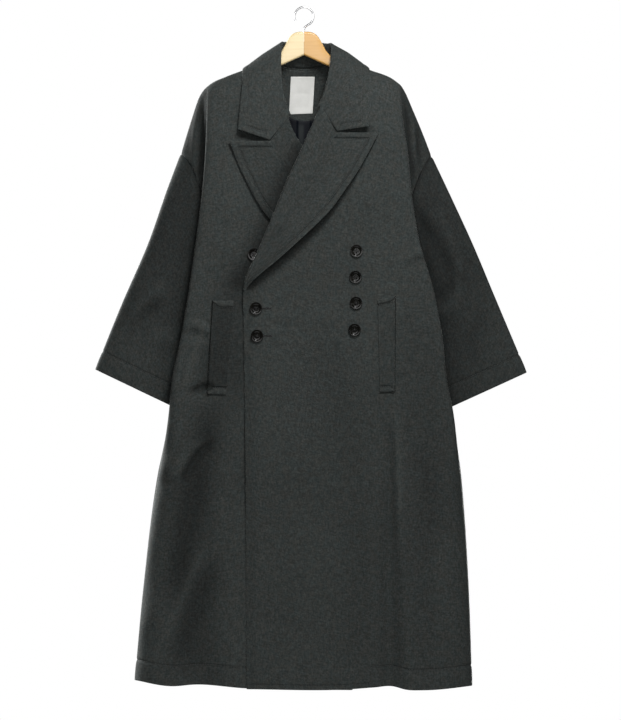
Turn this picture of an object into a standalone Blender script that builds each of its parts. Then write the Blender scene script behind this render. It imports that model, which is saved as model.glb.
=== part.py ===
import math

import bmesh
import bpy
import numpy as np

for old in list(bpy.data.objects):
    bpy.data.objects.remove(old, do_unlink=True)

# Sizes in millimetres. x is across, y is depth with the front facing -y,
# drop is the way down from the hook's inner top, where the rod bears.
MM = 0.001
WALL = 2.4
LAY_GAP = 0.4
SEAM_GAP = 0.3
NECK_HALF = 70.0
NECK_DROP = 101.0
BACK_NECK_DIP = 21.0
SHOULDER_ROUND = 140.0
OVERLAP_LIFT = 8.5
OVERLAP_END = (126.0, 205.0)
ROLL_RADIUS = 3.4
ROLL_GAP = 1.0
ARMHOLE_SHARE = 0.2
ARMHOLE_HALF_DEPTH = 36.0
ARMHOLE_BOW = 0.64
BACK_FOLD_INSET = 4.0
BACK_HEM = 1350.0
FOOT_DROP = 1365.0

# Body sections, a row per level
LEVEL_COLUMNS = ("drop", "fold_left", "fold_right", "inset_left", "inset_right",
                 "fold_run", "fold_turn", "valley", "front_depth", "back_depth")
LEVELS = (
    (100, 194.0, 193.5, 57, 61, 12, 7, 7, 50, 44),
    (210, 195.0, 196.0, 57, 61, 12, 7, 7, 53, 47),
    (286, 197.6, 207.0, 57, 61, 12, 7, 7, 56, 50),
    (378, 205.0, 216.0, 57, 61, 12, 7, 6, 57, 52),
    (464, 216.0, 230.0, 57, 61, 13, 7, 2, 59, 54),
    (563, 230.4, 258.5, 57, 63, 14, 7, 0, 61, 56),
    (652, 244.8, 276.0, 53, 56, 15, 8, 0, 63, 58),
    (758, 266.0, 288.0, 39, 38, 18, 9, 0, 65, 60),
    (800, 269.5, 297.0, 30, 31, 20, 12, 0, 66, 61),
    (897, 283.0, 309.0, 9, 9, 34, 24, 0, 69, 64),
    (960, 295.0, 316.0, 0, 0, 46, 38, 0, 71, 66),
    (1154, 317.4, 329.5, 0, 0, 66, 60, 0, 76, 71),
    (1365, 338.5, 337.0, 0, 0, 74, 68, 0, 82, 77),
)

# Shoulder seam from the neck to the sleeve seam, across and drop
SHOULDER = {
    -1: ((70, 101), (122, 127), (156, 142), (190, 160), (204, 173), (213, 188), (224, 219), (248, 294)),
    1: ((70, 101), (130, 127), (186, 153), (197, 164), (206, 183), (216, 209), (244, 272), (257, 299)),
}

# Neck edge, roll line and front edge, measured outward from the middle
EDGE = {
    -1: ((101, 70), (130, 62), (170, 48), (222, 29), (328, -22), (420, -60), (484, -89), (545, -114),
         (575, -118), (800, -113), (1365, -96)),
    1: ((101, 70), (130, 62), (165, 48), (203, 31), (328, -22), (420, -60), (484, -89), (545, -114),
        (575, -118), (800, -117), (1365, -114)),
}

# Front hem drop by distance outward from the middle
HEM = {
    -1: ((-120, 1365), (118, 1361), (216, 1354), (268, 1357), (338, 1346)),
    1: ((-120, 1363), (94, 1363), (144, 1359), (173, 1357), (205, 1364), (240, 1365), (337, 1354)),
}

# Drape folds, a row per fold, depth inward
FOLD_COLUMNS = ("panel", "top_x", "top_drop", "foot_x", "foot_drop", "half_width", "top_depth", "foot_depth")
FOLDS = (
    ("over", 168, 740, 172, 1365, 26, 1.0, 17.0),
    ("over", 190, 760, 214, 1365, 30, -1.0, -9.0),
    ("over", 60, 900, 40, 1365, 90, 0.0, 4.0),
    ("under", 205, 900, 208, 1365, 46, 0.0, 15.0),
    ("under", 130, 950, 140, 1365, 40, 0.0, -4.0),
    ("back", -150, 700, -190, 1365, 60, 0.0, 14.0),
    ("back", -40, 620, -50, 1365, 70, 0.0, -6.0),
    ("back", 60, 700, 75, 1365, 55, 0.0, 12.0),
    ("back", 170, 760, 205, 1365, 60, 0.0, 15.0),
)

# Rows of the panels, share of the way from shoulder to hem below the armhole
ARMHOLE_STEPS = 10
SKIRT_ROWS = (0.24, 0.29, 0.335, 0.362, 0.40, 0.45, 0.505, 0.56, 0.62, 0.69, 0.76, 0.84, 0.92, 1.0)
FRONT_COLUMNS = (0.0, 0.1, 0.2, 0.32, 0.44, 0.55, 0.63, 0.69, 0.74, 0.785, 0.83, 0.88, 0.94, 1.0)
BACK_TOPS = (18.0, 36.0, 54.0, 65.0, NECK_HALF, 84.0, 98.0, 114.0, 130.0, 146.0, 162.0)
TURN_COLUMNS = (30.0, 60.0, 90.0)
RETURN_COLUMNS = (0.2, 0.4, 0.6, 0.8, 1.0)

# Collar sections, a row per section from the gorge to the centre back.
# seam lies on the neck seam and fold is the top of the turned edge; None takes the panel's own.
COLLAR_COLUMNS = ("face", "seam_x", "seam_drop", "fold_x", "fold_y", "fold_drop",
                  "mid_x", "mid_drop", "mid_lift", "edge_x", "edge_drop")
COLLAR = {
    -1: (
        (-1, 33, 212, 25.5, None, 217, 68.5, 265, 4.4, 131, 245),
        (-1, 45, 179, 38.5, None, 182, 76, 217, 5.0, 129, 216),
        (-1, 58, 142, 44.0, None, 140, 82, 168, 6.0, 126, 182),
        (-1, 66, 115, 46.0, -25.0, 100, 84, 130, 8.0, 123, 150),
        (-1, 70, 101, 43.0, 0.0, 71, 84, 108, 12.0, 122, 127),
        (1, 62, None, 38.0, 11.0, 68, 72, 108, 10.0, 108, 142),
        (1, 35, None, 22.0, 18.0, 67, 40, 113, 11.0, 62, 156),
    ),
    1: (
        (-1, 35, 193, 28.0, None, 197, 66.5, 247.5, 4.4, 128, 239),
        (-1, 46, 169, 39.0, None, 170, 74, 206, 5.0, 128.5, 211),
        (-1, 58, 142, 47.0, None, 141, 82, 165, 6.0, 128, 180),
        (-1, 66, 115, 53.0, -25.0, 104, 87, 131, 8.0, 128.5, 150),
        (-1, 70, 101, 53.0, 0.0, 75, 90, 110, 12.0, 130, 127),
        (1, 62, None, 45.0, 11.0, 71, 74, 110, 10.0, 112, 142),
        (1, 35, None, 25.0, 18.0, 68, 41, 113, 11.0, 63, 156),
    ),
}
COLLAR_BACK = (1, 0, None, 0.0, 20.0, 67, 0, 114, 11.0, 0, 160)
COLLAR_STEPS = 2
COLLAR_EDGE_LIFT = 5.2
COLLAR_SEAM_GAP = 2.6

# Lapel sections, a row per section: drop on the roll line, then the outer edge
LAPEL = {
    -1: ((223, 149, 268), (245, 138, 296), (270, 128, 321), (300, 113.5, 350), (335, 95.5, 385),
         (370, 74, 417), (405, 44, 446), (445, 5, 477), (484, -35, 507), (515, -69, 529),
         (535, -94, 543), (547, -108, 553)),
    1: ((203, 148, 252), (224, 139, 271), (245, 128, 291), (285, 106, 329), (325, 80, 367),
        (365, 53, 404), (405, 21, 437), (445, -14, 469), (484, -50, 501), (515, -78, 524),
        (535, -96, 539), (547, -108, 551)),
}
LAPEL_GORGE = {-1: (67.0, 268.0), 1: (65.0, 251.0)}
LAPEL_GORGE_SHARE = 0.36
LAPEL_GORGE_FADE = (1.0, 0.5, 0.25, 0.1)
LAPEL_COLUMNS = (0.12, 0.24, 0.36, 0.52, 0.68, 0.84, 1.0)
LAPEL_LIFT = {-1: 3.2, 1: 3.8}
LAPEL_ROLL_LIFT = {-1: 0.0, 1: 2.5}

# Sleeves: outer outline from seam to cuff, then the inner corner of the cuff
SLEEVE_OUTER = {
    -1: ((294, 248), (363, 274), (471, 312), (592, 363), (724, 415)),
    1: ((299, 257), (386, 295), (472, 335), (578, 381), (730, 446)),
}
SLEEVE_UNDERARM = {-1: 165.0, 1: 180.0}
SLEEVE_INNER_CUFF = {-1: (253, 800), 1: (280, 803)}
SLEEVE_RINGS = (0.0, 0.03, 0.08, 0.16, 0.26, 0.37, 0.48, 0.59, 0.70, 0.81, 0.91, 1.0)
SLEEVE_DEPTH = ((0.0, 36.0), (0.08, 33.0), (0.26, 28.0), (0.6, 25.0), (1.0, 23.0))
SLEEVE_ROUND = 0.85
SLEEVE_INNER_THIN = ((0.0, 0.32), (0.1, 0.4), (0.3, 0.6), (1.0, 0.8))
SLEEVE_BOW_RUN = 0.35
SLEEVE_GAP = 1.85
SLEEVE_CLEAR = 6.0

# Pocket welts: corners across and drop, top outer, top inner, foot outer, foot inner
WELTS = {
    "welt_right": (-1, (182, 587), (141, 587), (193, 774), (156, 776)),
    "welt_left": (1, (182, 578), (147, 585), (181, 769), (152, 771)),
}
WELT_THICK = 2.0

# Buttons: panel side the button sits on, distance outward on that side, drop
BUTTONS = (
    (1, 105, 488), (1, 103, 540), (1, 104, 592), (1, 101, 646),
    (-1, 100, 495), (-1, 98, 548), (1, -96, 603), (1, -94, 658),
)
BUTTON_RADIUS = 12.5
BUTTON_PROFILE = ((6.6, 2.4), (9.0, 4.0), (11.4, 4.0), (12.5, 2.6), (10.6, 0.0))
BUTTON_SEGMENTS = 14
BUTTON_HOLE_RADIUS = 1.1
BUTTON_HOLE_PITCH = 2.4

# Inside back
FACING_HALF = 64.0
FACING_FOOT = 226.0
FACING_RISE = 40.0
FACING_WALL = 1.2
FACING_GAP = 0.9
LINING_FOOT = 520.0
LINING_FOOT_HALF = 130.0
LINING_WALL = 1.0
PLEAT_HALF = 12.0
INSIDE_COLUMNS = (-64, -48, -30, -14, -12, 0, 12, 14, 30, 48, 64)
PLEAT_LIFT = 2.0
LABEL_CORNERS = ((-26, 136), (21, 136), (-30, 212), (17, 210))
LABEL_THICK = 0.8

# Hanger: across, drop of the top, drop of the underside; the top follows the seam past the neck
HANGER_HEAD = ((0.2, 47.5, 95.0), (10, 47.8, 99.5), (20, 50.5, 104.0), (28, 57.0, 107.6),
               (36, 70.0, 111.2), (45, 86.5, 115.2), (56, 98.0, 120.2), (70, 107.0, 126.5))
HANGER_ARM = ((95, 24.0), (122, 23.5), (150, 22.5), (170, 21.0), (180, 18.0), (186, 12.0))
HANGER_SEAT = 2.0
HANGER_HALF_THICK = 6.0
HANGER_CORNER = 4.5
HOOK_RADIUS = 17.0
HOOK_WIRE = 1.8
HOOK_START = -50.0
HOOK_END = 205.0
HOOK_SEGMENTS = 8


def smooth_curve(table, at):
    # Cubic through the rows of a two-column table, level beyond its ends
    keys = np.array([row[0] for row in table], float)
    values = np.array([row[1] for row in table], float)
    slopes = np.gradient(values, keys)
    at = min(max(at, keys[0]), keys[-1])
    i = min(max(int(np.searchsorted(keys, at, side="right")) - 1, 0), len(keys) - 2)
    step = keys[i + 1] - keys[i]
    t = (at - keys[i]) / step
    near = values[i] * (1 + 2 * t) + slopes[i] * step * t
    far = values[i + 1] * (3 - 2 * t) + slopes[i + 1] * step * (t - 1)
    return float(near * (1 - t) ** 2 + far * t * t)


def ease(t):
    t = min(max(t, 0.0), 1.0)
    return t * t * (3 - 2 * t)


def level(column, drop):
    i = LEVEL_COLUMNS.index(column)
    return smooth_curve([(row[0], row[i]) for row in LEVELS], drop)


def side_word(side):
    return "left" if side < 0 else "right"


def fold_edge(side, face, drop):
    inset = BACK_FOLD_INSET if face > 0 else 0.0
    return level("fold_" + side_word(side), drop) - inset


def panel_edge(side, face, drop):
    return fold_edge(side, face, drop) - level("fold_run", drop)


def front_edge(side, share):
    # Front panel's edge at a row, share of the way from neck to hem
    foot = smooth_curve(HEM[side], smooth_curve(EDGE[side], FOOT_DROP))
    return smooth_curve(EDGE[side], NECK_DROP + share * (foot - NECK_DROP))


def shoulder_drop(side, x):
    return smooth_curve(SHOULDER[side], max(x, NECK_HALF))


def neck_drop(x):
    # Back neckline inside the neck points, the shoulder seam outside them
    across = min(abs(x) / NECK_HALF, 1.0)
    return NECK_DROP + BACK_NECK_DIP * (1.0 - across * across) ** 0.75


def round_over(below):
    # Share of the full depth reached this far below the shoulder seam
    rest = 1.0 - min(max(below / SHOULDER_ROUND, 0.0), 1.0)
    return math.sqrt(1.0 - rest * rest)


def fold_depth(panel, x, drop):
    total = 0.0
    for row in FOLDS:
        f = dict(zip(FOLD_COLUMNS, row))
        t = (drop - f["top_drop"]) / (f["foot_drop"] - f["top_drop"])
        if f["panel"] == panel and t > 0.0:
            off = (x - f["top_x"] - (f["foot_x"] - f["top_x"]) * t) / f["half_width"]
            depth = f["top_depth"] + (f["foot_depth"] - f["top_depth"]) * min(t, 1.0)
            total += depth * math.exp(-off * off * 2.0) * ease(t * 4.0)
    return total


def cloth(side, face, x, drop):
    # Outer face of a body panel: depth there, and how far below the shoulder seam it is
    top_near = NECK_HALF if face < 0 else 0.0
    share = (drop - NECK_DROP) / (BACK_HEM - NECK_DROP)
    for step in range(5):
        near = front_edge(side, share) if face < 0 else 0.0
        part = min(max((x - near) / (panel_edge(side, face, drop) - near), 0.0), 1.0)
        top_drop = shoulder_drop(side, top_near + part * (panel_edge(side, face, NECK_DROP) - top_near))
        share = max((drop - top_drop) / (BACK_HEM - top_drop), 0.0)
    return face * panel_depth(side, face, x, drop) * round_over(drop - top_drop), drop - top_drop


def panel_depth(side, face, x, drop):
    if face > 0:
        return level("back_depth", drop) - fold_depth("back", x * side, drop)
    depth = level("front_depth", drop)
    if side < 0:
        return depth - fold_depth("under", x, drop)
    lap = 1.0 - ease((x - OVERLAP_END[0]) / (OVERLAP_END[1] - OVERLAP_END[0]))
    return depth + OVERLAP_LIFT * lap - fold_depth("over", x, drop)


def lifted(side, face, x, drop, lift):
    # Point this far off the outer face of a panel, across signed, height in z
    y, below = cloth(side, face, x, drop)
    rest = 1.0 - min(max(below / SHOULDER_ROUND, 0.0), 1.0)
    out = math.sqrt(1.0 - rest * rest) / panel_depth(side, face, x, drop)
    up = rest / SHOULDER_ROUND
    size = math.hypot(out, up)
    normal = np.array((0.0, face * out / size, up / size))
    return np.array((side * x, y, -drop)) + normal * lift, normal


def row_shares():
    turns = [math.pi * k / ARMHOLE_STEPS for k in range(ARMHOLE_STEPS + 1)]
    return [ARMHOLE_SHARE * (1 - math.cos(a)) / 2 for a in turns] + list(SKIRT_ROWS)


def underarm_drop(side):
    top = SHOULDER[side][-1][1]
    return top + ARMHOLE_SHARE * (HEM[side][-1][1] - top)


def sleeve_swing(angle, part):
    # Half depth round a sleeve section as a share, thin toward the inner edge near the armhole
    thin = smooth_curve(SLEEVE_INNER_THIN, part)
    return abs(math.sin(angle)) ** SLEEVE_ROUND * (thin + (1 - thin) * (1 + math.cos(angle)) / 2)


def side_end(side, drop):
    # Last column of a panel: armhole seam down to the underarm, then the side seam
    seam_x, seam_drop = SHOULDER[side][-1]
    under_x, under_drop = SLEEVE_UNDERARM[side], underarm_drop(side)
    if drop <= under_drop + 1e-6:
        part = (drop - seam_drop) / (under_drop - seam_drop)
        angle = math.acos(1 - 2 * min(max(part, 0.0), 1.0))
        depth = ARMHOLE_HALF_DEPTH * sleeve_swing(angle, 0.0)
        return seam_x + (under_x - seam_x) * max(part, 0.0) ** ARMHOLE_BOW, max(depth, SEAM_GAP / 2)
    blend = ease((drop - under_drop) / 60.0)
    groove = fold_edge(side, -1, drop) - max(level("inset_" + side_word(side), drop), 0.0)
    return under_x + (groove - under_x) * blend if blend < 1.0 else groove, SEAM_GAP / 2


def side_columns(side, face, share):
    # Fold edge and the cloth behind it, from the panel's end to the side seam or armhole
    seam_x, seam_drop = SHOULDER[side][-1]
    end_hem = HEM[side][-1][1]
    end_drop = seam_drop + share * (end_hem - seam_drop)
    end_x, end_y = side_end(side, end_drop)
    points = []
    for kind, value in [("turn", a) for a in TURN_COLUMNS] + [("return", t) for t in RETURN_COLUMNS]:
        top_edge = fold_edge(side, face, NECK_DROP)
        hem = end_hem
        if kind == "turn":
            reach = 1 - math.sin(math.radians(value))
            top_x = top_edge - level("fold_run", NECK_DROP) * reach
            if face < 0:
                hem = smooth_curve(HEM[side], fold_edge(side, face, FOOT_DROP) - level("fold_run", FOOT_DROP) * reach)
        else:
            top_x = top_edge + (seam_x - top_edge) * ease(value)
        top_drop = shoulder_drop(side, top_x) if value < 1.0 or kind == "turn" else seam_drop
        drop = top_drop + share * (hem - top_drop)
        edge = fold_edge(side, face, drop)
        run = level("fold_run", drop)
        rise = round_over(drop - top_drop)
        depth = panel_depth(side, face, edge - run, drop) * rise
        turn = min(level("fold_turn", drop) * rise, depth * 0.6)
        if kind == "turn":
            angle = math.radians(value)
            x = edge - run + run * math.sin(angle)
            y = depth - turn * (1 - math.cos(angle))
        else:
            dip = level("valley", drop) * rise * math.sin(math.pi * value ** 0.75)
            x = edge + (end_x - edge) * ease(value) - max(dip, 0.0)
            y = (depth - turn) + (end_y - (depth - turn)) * value
        points.append((side * x, face * max(y, SEAM_GAP / 2), -drop))
    return points


def front_rows(side):
    rows = []
    for share in row_shares():
        row = []
        for part in FRONT_COLUMNS:
            top_x = NECK_HALF + part * (panel_edge(side, -1, NECK_DROP) - NECK_HALF)
            foot_near = smooth_curve(EDGE[side], FOOT_DROP)
            foot_x = foot_near + part * (panel_edge(side, -1, FOOT_DROP) - foot_near)
            top_drop = shoulder_drop(side, top_x)
            drop = top_drop + share * (smooth_curve(HEM[side], foot_x) - top_drop)
            near = front_edge(side, share)
            x = near + part * (panel_edge(side, -1, drop) - near)
            y = -panel_depth(side, -1, x, drop) * round_over(drop - top_drop)
            row.append((side * x, min(y, -SEAM_GAP / 2), -drop))
        rows.append(row + side_columns(side, -1, share))
    return rows


def back_half(side, share):
    row = []
    top_edge = panel_edge(side, 1, NECK_DROP)
    for top_x in BACK_TOPS + (top_edge,):
        part = top_x / top_edge
        foot = BACK_HEM + (HEM[side][-1][1] - BACK_HEM) * part ** 3
        top_drop = shoulder_drop(side, top_x)
        start = top_drop if top_x >= NECK_HALF else neck_drop(top_x)
        drop = start + share * (foot - start)
        x = part * panel_edge(side, 1, drop)
        y = panel_depth(side, 1, x, drop) * round_over(drop - top_drop)
        row.append((side * x, max(y, SEAM_GAP / 2), -drop))
    return row + side_columns(side, 1, share)


def back_rows():
    rows = []
    for share in row_shares():
        start = neck_drop(0.0)
        drop = start + share * (BACK_HEM - start)
        y = panel_depth(1, 1, 0.0, drop) * round_over(drop - NECK_DROP)
        rows.append(back_half(-1, share)[::-1] + [(0.0, y, -drop)] + back_half(1, share))
    return rows


def unit(vectors):
    return vectors / np.maximum(np.linalg.norm(vectors, axis=-1, keepdims=True), 1e-9)


def grid_normals(points, toward, wrap=False):
    # Normals of a grid of points, turned so that the first one named looks the way given
    if wrap:
        across = np.roll(points, -1, axis=1) - np.roll(points, 1, axis=1)
    else:
        across = np.gradient(points, axis=1)
    normals = unit(np.cross(across, np.gradient(points, axis=0)))
    (i, j), way = toward
    return normals if np.dot(normals[i, j], way) > 0 else -normals


def paint(name, colour, rough, metal=0.0):
    made = bpy.data.materials.new(name)
    made.use_nodes = True
    shader = made.node_tree.nodes["Principled BSDF"]
    shader.inputs["Base Color"].default_value = (*colour, 1.0)
    shader.inputs["Roughness"].default_value = rough
    shader.inputs["Metallic"].default_value = metal
    return made


def add_body(name, points, faces, look, split=True):
    mesh = bpy.data.meshes.new(name)
    mesh.from_pydata([tuple(p * MM) for p in points], [], faces)
    bm = bmesh.new()
    bm.from_mesh(mesh)
    if split:
        bmesh.ops.triangulate(bm, faces=bm.faces[:])
    bmesh.ops.recalc_face_normals(bm, faces=bm.faces[:])
    bm.to_mesh(mesh)
    bm.free()
    mesh.shade_smooth()
    mesh.set_sharp_from_angle(angle=math.radians(40.0))
    mesh.materials.append(paint(name, *look))
    body = bpy.data.objects.new(name, mesh)
    bpy.context.collection.objects.link(body)
    return body


def add_sheet(name, outer, normals, wall, look, wrap=False):
    # Cloth of an even wall: the outer grid, the same grid moved in, and the edges between
    rows, cols = outer.shape[:2]
    inner = outer - normals * wall
    points = list(outer.reshape(-1, 3)) + list(inner.reshape(-1, 3))
    count = rows * cols
    faces = []
    spans = cols if wrap else cols - 1

    def at(i, j):
        return i * cols + j % cols

    for i in range(rows - 1):
        for j in range(spans):
            ring = (at(i, j), at(i, j + 1), at(i + 1, j + 1), at(i + 1, j))
            faces.append(ring)
            faces.append(tuple(v + count for v in reversed(ring)))
    for i in (0, rows - 1):
        for j in range(spans):
            faces.append((at(i, j), at(i, j + 1), at(i, j + 1) + count, at(i, j) + count))
    if not wrap:
        for j in (0, cols - 1):
            for i in range(rows - 1):
                faces.append((at(i, j), at(i + 1, j), at(i + 1, j) + count, at(i, j) + count))
    return add_body(name, points, faces, look)


def level_seams(normals, columns):
    # At the shoulder and side seams the cut edge stands square to the seam plane
    normals = normals.copy()
    normals[0, :, 1] = 0.0
    for j in columns:
        normals[ARMHOLE_STEPS:, j, 1] = 0.0
    return unit(normals)


def add_front(name, side):
    outer = np.array(front_rows(side))
    normals = grid_normals(outer, ((14, 4), (0, -1, 0)))
    add_sheet(name, outer, level_seams(normals, (-1,)), WALL, WOOL)


def add_back():
    outer = np.array(back_rows())
    normals = grid_normals(outer, ((14, outer.shape[1] // 2), (0, 1, 0)))
    edges = level_seams(normals, (0, -1))
    inside = BACK_TOPS.index(NECK_HALF)
    middle = outer.shape[1] // 2
    neck = slice(middle - inside, middle + inside + 1)
    edges[0, neck] = normals[0, neck]
    add_sheet("back", outer, edges, WALL, WOOL)


def add_sleeve(name, side):
    seam_x, seam_drop = SHOULDER[side][-1]
    under = np.array((SLEEVE_UNDERARM[side], underarm_drop(side)))
    cuff = np.array(SLEEVE_INNER_CUFF[side], float)
    along = unit(under - np.array((seam_x, seam_drop)))
    away = np.array((along[1], -along[0]))
    cuff_drop = SLEEVE_OUTER[side][-1][0]
    rows = []
    for part in SLEEVE_RINGS:
        drop = seam_drop + part * (cuff_drop - seam_drop)
        top = np.array((smooth_curve(SLEEVE_OUTER[side], drop), drop))
        low = under + (cuff - under) * part + np.array((SLEEVE_CLEAR * ease(part / 0.1), 0.0))
        depth = smooth_curve(SLEEVE_DEPTH, part)
        bow = ARMHOLE_BOW + (1 - ARMHOLE_BOW) * ease(part / SLEEVE_BOW_RUN)
        ring = []
        for k in range(2 * ARMHOLE_STEPS):
            angle = math.pi * k / ARMHOLE_STEPS
            inward = (1 - math.cos(angle)) / 2
            spot = top + (low - top) * np.array((inward ** bow, inward)) + away * SLEEVE_GAP
            swing = math.copysign(sleeve_swing(angle, part), math.sin(angle))
            ring.append((side * spot[0], -swing * depth, -spot[1]))
        rows.append(ring)
    outer = np.array(rows)
    normals = grid_normals(outer, ((5, ARMHOLE_STEPS // 2), (0, -1, 0)), wrap=True)
    add_sheet(name, outer, normals, WALL, WOOL, wrap=True)


def collar_points(side, row):
    # Neck seam, fold, middle and outer edge of one collar section
    c = dict(zip(COLLAR_COLUMNS, row))
    face = c["face"]
    if face < 0:
        seam = lifted(side, -1, c["seam_x"], c["seam_drop"], -WALL / 2)[0]
        fold_y = c["fold_y"]
        if fold_y is None:
            fold_y = cloth(side, -1, c["fold_x"], c["fold_drop"])[0] - (ROLL_RADIUS - WALL)
    else:
        drop = neck_drop(c["seam_x"])
        y = panel_depth(side, 1, c["seam_x"], drop) * round_over(drop - NECK_DROP)
        seam = np.array((side * c["seam_x"], y - WALL / 2, -drop))
        fold_y = c["fold_y"]
    fold = np.array((side * c["fold_x"], fold_y, -c["fold_drop"]))
    seam = seam + unit(fold - seam) * COLLAR_SEAM_GAP
    mid = lifted(side, face, c["mid_x"], c["mid_drop"], c["mid_lift"])[0]
    edge = lifted(side, face, c["edge_x"], c["edge_drop"], COLLAR_EDGE_LIFT)[0]
    return np.array((seam, fold, mid, edge))


def add_collar():
    sections = [collar_points(-1, row) for row in COLLAR[-1]]
    sections.append(collar_points(1, COLLAR_BACK))
    sections += [collar_points(1, row) for row in reversed(COLLAR[1])]
    sections = np.array(sections)
    keys = list(range(len(sections)))
    steps = [k / COLLAR_STEPS for k in range((len(sections) - 1) * COLLAR_STEPS + 1)]
    fine = np.array([[[smooth_curve(list(zip(keys, sections[:, p, a])), t) for a in range(3)]
                      for p in range(4)] for t in steps])
    travel = unit(np.gradient(fine[:, 1], axis=0))
    rows = []
    for (seam, fold, mid, edge), way in zip(fine, travel):
        up = fold - seam
        up = unit(up - way * np.dot(up, way))
        out = np.cross(up, way)
        centre = fold - up * ROLL_RADIUS
        turn = [centre + ROLL_RADIUS * (up * math.sin(a) - out * math.cos(a))
                for a in np.radians((0, 45, 90, 135, 180))]
        stand = [seam + (turn[0] - seam) * t for t in (0.0, 0.5)]
        fall = [turn[-1] + (mid - turn[-1]) * t for t in (0.34, 0.67, 1.0)]
        fall += [mid + (edge - mid) * t for t in (0.34, 0.67, 1.0)]
        rows.append(stand + turn + fall)
    outer = np.array(rows)
    middle = len(rows) // 2
    normals = grid_normals(outer, ((middle, 4), (0, 0, 1)))
    add_sheet("collar", outer, normals, WALL, WOOL)


def add_lapel(name, side):
    top_roll, *top_far = LAPEL[side][0]
    top_near = np.array((smooth_curve(EDGE[side], top_roll), top_roll))
    bend = np.array(LAPEL_GORGE[side]) - (top_near + (np.array(top_far) - top_near) * LAPEL_GORGE_SHARE)
    rows = []
    turned = []
    for i, (drop, out_x, out_drop) in enumerate(LAPEL[side]):
        fade = LAPEL_GORGE_FADE[i] if i < len(LAPEL_GORGE_FADE) else 0.0
        near = np.array((smooth_curve(EDGE[side], drop), drop))
        far = np.array((out_x, out_drop), float)
        flat = []
        for w in LAPEL_COLUMNS:
            hat = w / LAPEL_GORGE_SHARE if w < LAPEL_GORGE_SHARE else (1 - w) / (1 - LAPEL_GORGE_SHARE)
            spot = near + (far - near) * w + bend * fade * hat
            size = np.linalg.norm(far - near)
            soft = LAPEL_ROLL_LIFT[side] * math.exp(-((w - 0.2) / 0.16) ** 2) * min(size / 60.0, 1.0)
            flat.append(lifted(side, -1, spot[0], spot[1], LAPEL_LIFT[side] + soft)[0])
        root, normal = lifted(side, -1, near[0], near[1], 0.0)
        way = flat[1] - root
        way = unit(way - normal * np.dot(way, normal))
        centre = root + normal * (ROLL_RADIUS - WALL) - way * ROLL_GAP
        turn = [-(way * math.sin(a) + normal * math.cos(a)) for a in np.radians((0, 45, 90, 135, 180))]
        rows.append([centre + ROLL_RADIUS * n for n in turn] + flat)
        turned.append(turn[:-1])
    outer = np.array(rows)
    normals = grid_normals(outer, ((3, 8), (0, -1, 0)))
    normals[:, :len(turned[0])] = turned
    add_sheet(name, outer, normals, WALL, WOOL)


def add_welt(name, side, corners):
    top_out, top_in, foot_out, foot_in = [np.array(c, float) for c in corners]
    rows = []
    normals = []
    for i in range(8):
        t = i / 7
        outer_edge = top_out + (foot_out - top_out) * t
        inner_edge = top_in + (foot_in - top_in) * t
        made = [lifted(side, -1, *(outer_edge + (inner_edge - outer_edge) * w), LAY_GAP + WELT_THICK)
                for w in (0.0, 0.33, 0.67, 1.0)]
        rows.append([p for p, n in made])
        normals.append([n for p, n in made])
    add_sheet(name, np.array(rows), np.array(normals), WELT_THICK, WOOL)


def button_mesh():
    # One button: a turned body with four sewing holes cut through it
    points = []
    faces = []
    for r, h in BUTTON_PROFILE:
        for k in range(BUTTON_SEGMENTS):
            a = 2 * math.pi * k / BUTTON_SEGMENTS
            points.append((r * math.cos(a), -h, r * math.sin(a)))
    rings = len(BUTTON_PROFILE)
    for i in range(rings - 1):
        for k in range(BUTTON_SEGMENTS):
            n = (k + 1) % BUTTON_SEGMENTS
            a, b = i * BUTTON_SEGMENTS, (i + 1) * BUTTON_SEGMENTS
            faces.append((a + k, a + n, b + n, b + k))
    faces.append(tuple(range(BUTTON_SEGMENTS)))
    faces.append(tuple(range((rings - 1) * BUTTON_SEGMENTS, rings * BUTTON_SEGMENTS)))
    blank = add_body("button_blank", [np.array(p) for p in points], faces, HORN, split=False)
    drills = []
    for sx, sz in ((1, 1), (-1, 1), (-1, -1), (1, -1)):
        ring = [(BUTTON_HOLE_PITCH * sx + BUTTON_HOLE_RADIUS * math.cos(math.pi * k / 3),
                 BUTTON_HOLE_PITCH * sz + BUTTON_HOLE_RADIUS * math.sin(math.pi * k / 3)) for k in range(6)]
        drill = [np.array((x, y, z)) for y in (-6.0, 2.0) for x, z in ring]
        walls = [(k, (k + 1) % 6, (k + 1) % 6 + 6, k + 6) for k in range(6)]
        caps = [tuple(range(6)), tuple(range(6, 12))]
        drills.append(add_body("drill", drill, walls + caps, HORN, split=False))
    for drill in drills:
        cut = blank.modifiers.new("cut", "BOOLEAN")
        cut.operation = "DIFFERENCE"
        cut.solver = "EXACT"
        cut.object = drill
    bpy.context.view_layer.update()
    made = bpy.data.meshes.new_from_object(blank.evaluated_get(bpy.context.evaluated_depsgraph_get()))
    for helper in drills + [blank]:
        bpy.data.objects.remove(helper, do_unlink=True)
    return made


def add_buttons():
    pattern = button_mesh()
    shape = [np.array(v.co) / MM for v in pattern.vertices]
    faces = [tuple(p.vertices) for p in pattern.polygons]
    for number, (side, x, drop) in enumerate(BUTTONS, 1):
        seat = lifted(side, -1, x, drop, LAY_GAP)[0]
        reach = [cloth(side, -1, x + dx, drop + dz)[0]
                 for dx in (-BUTTON_RADIUS, 0, BUTTON_RADIUS) for dz in (-BUTTON_RADIUS, 0, BUTTON_RADIUS)]
        seat[1] = min(reach) - LAY_GAP
        add_body("button_%d" % number, [p + seat for p in shape], faces, HORN)


def inside_point(x, drop, depth_in):
    # Point this far in from the outer face of the back
    side = -1 if x < 0 else 1
    point, normal = lifted(side, 1, abs(x), drop, -depth_in)
    return point, -normal


def facing_foot(x):
    return FACING_FOOT - FACING_RISE * (x / FACING_HALF) ** 2


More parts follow.
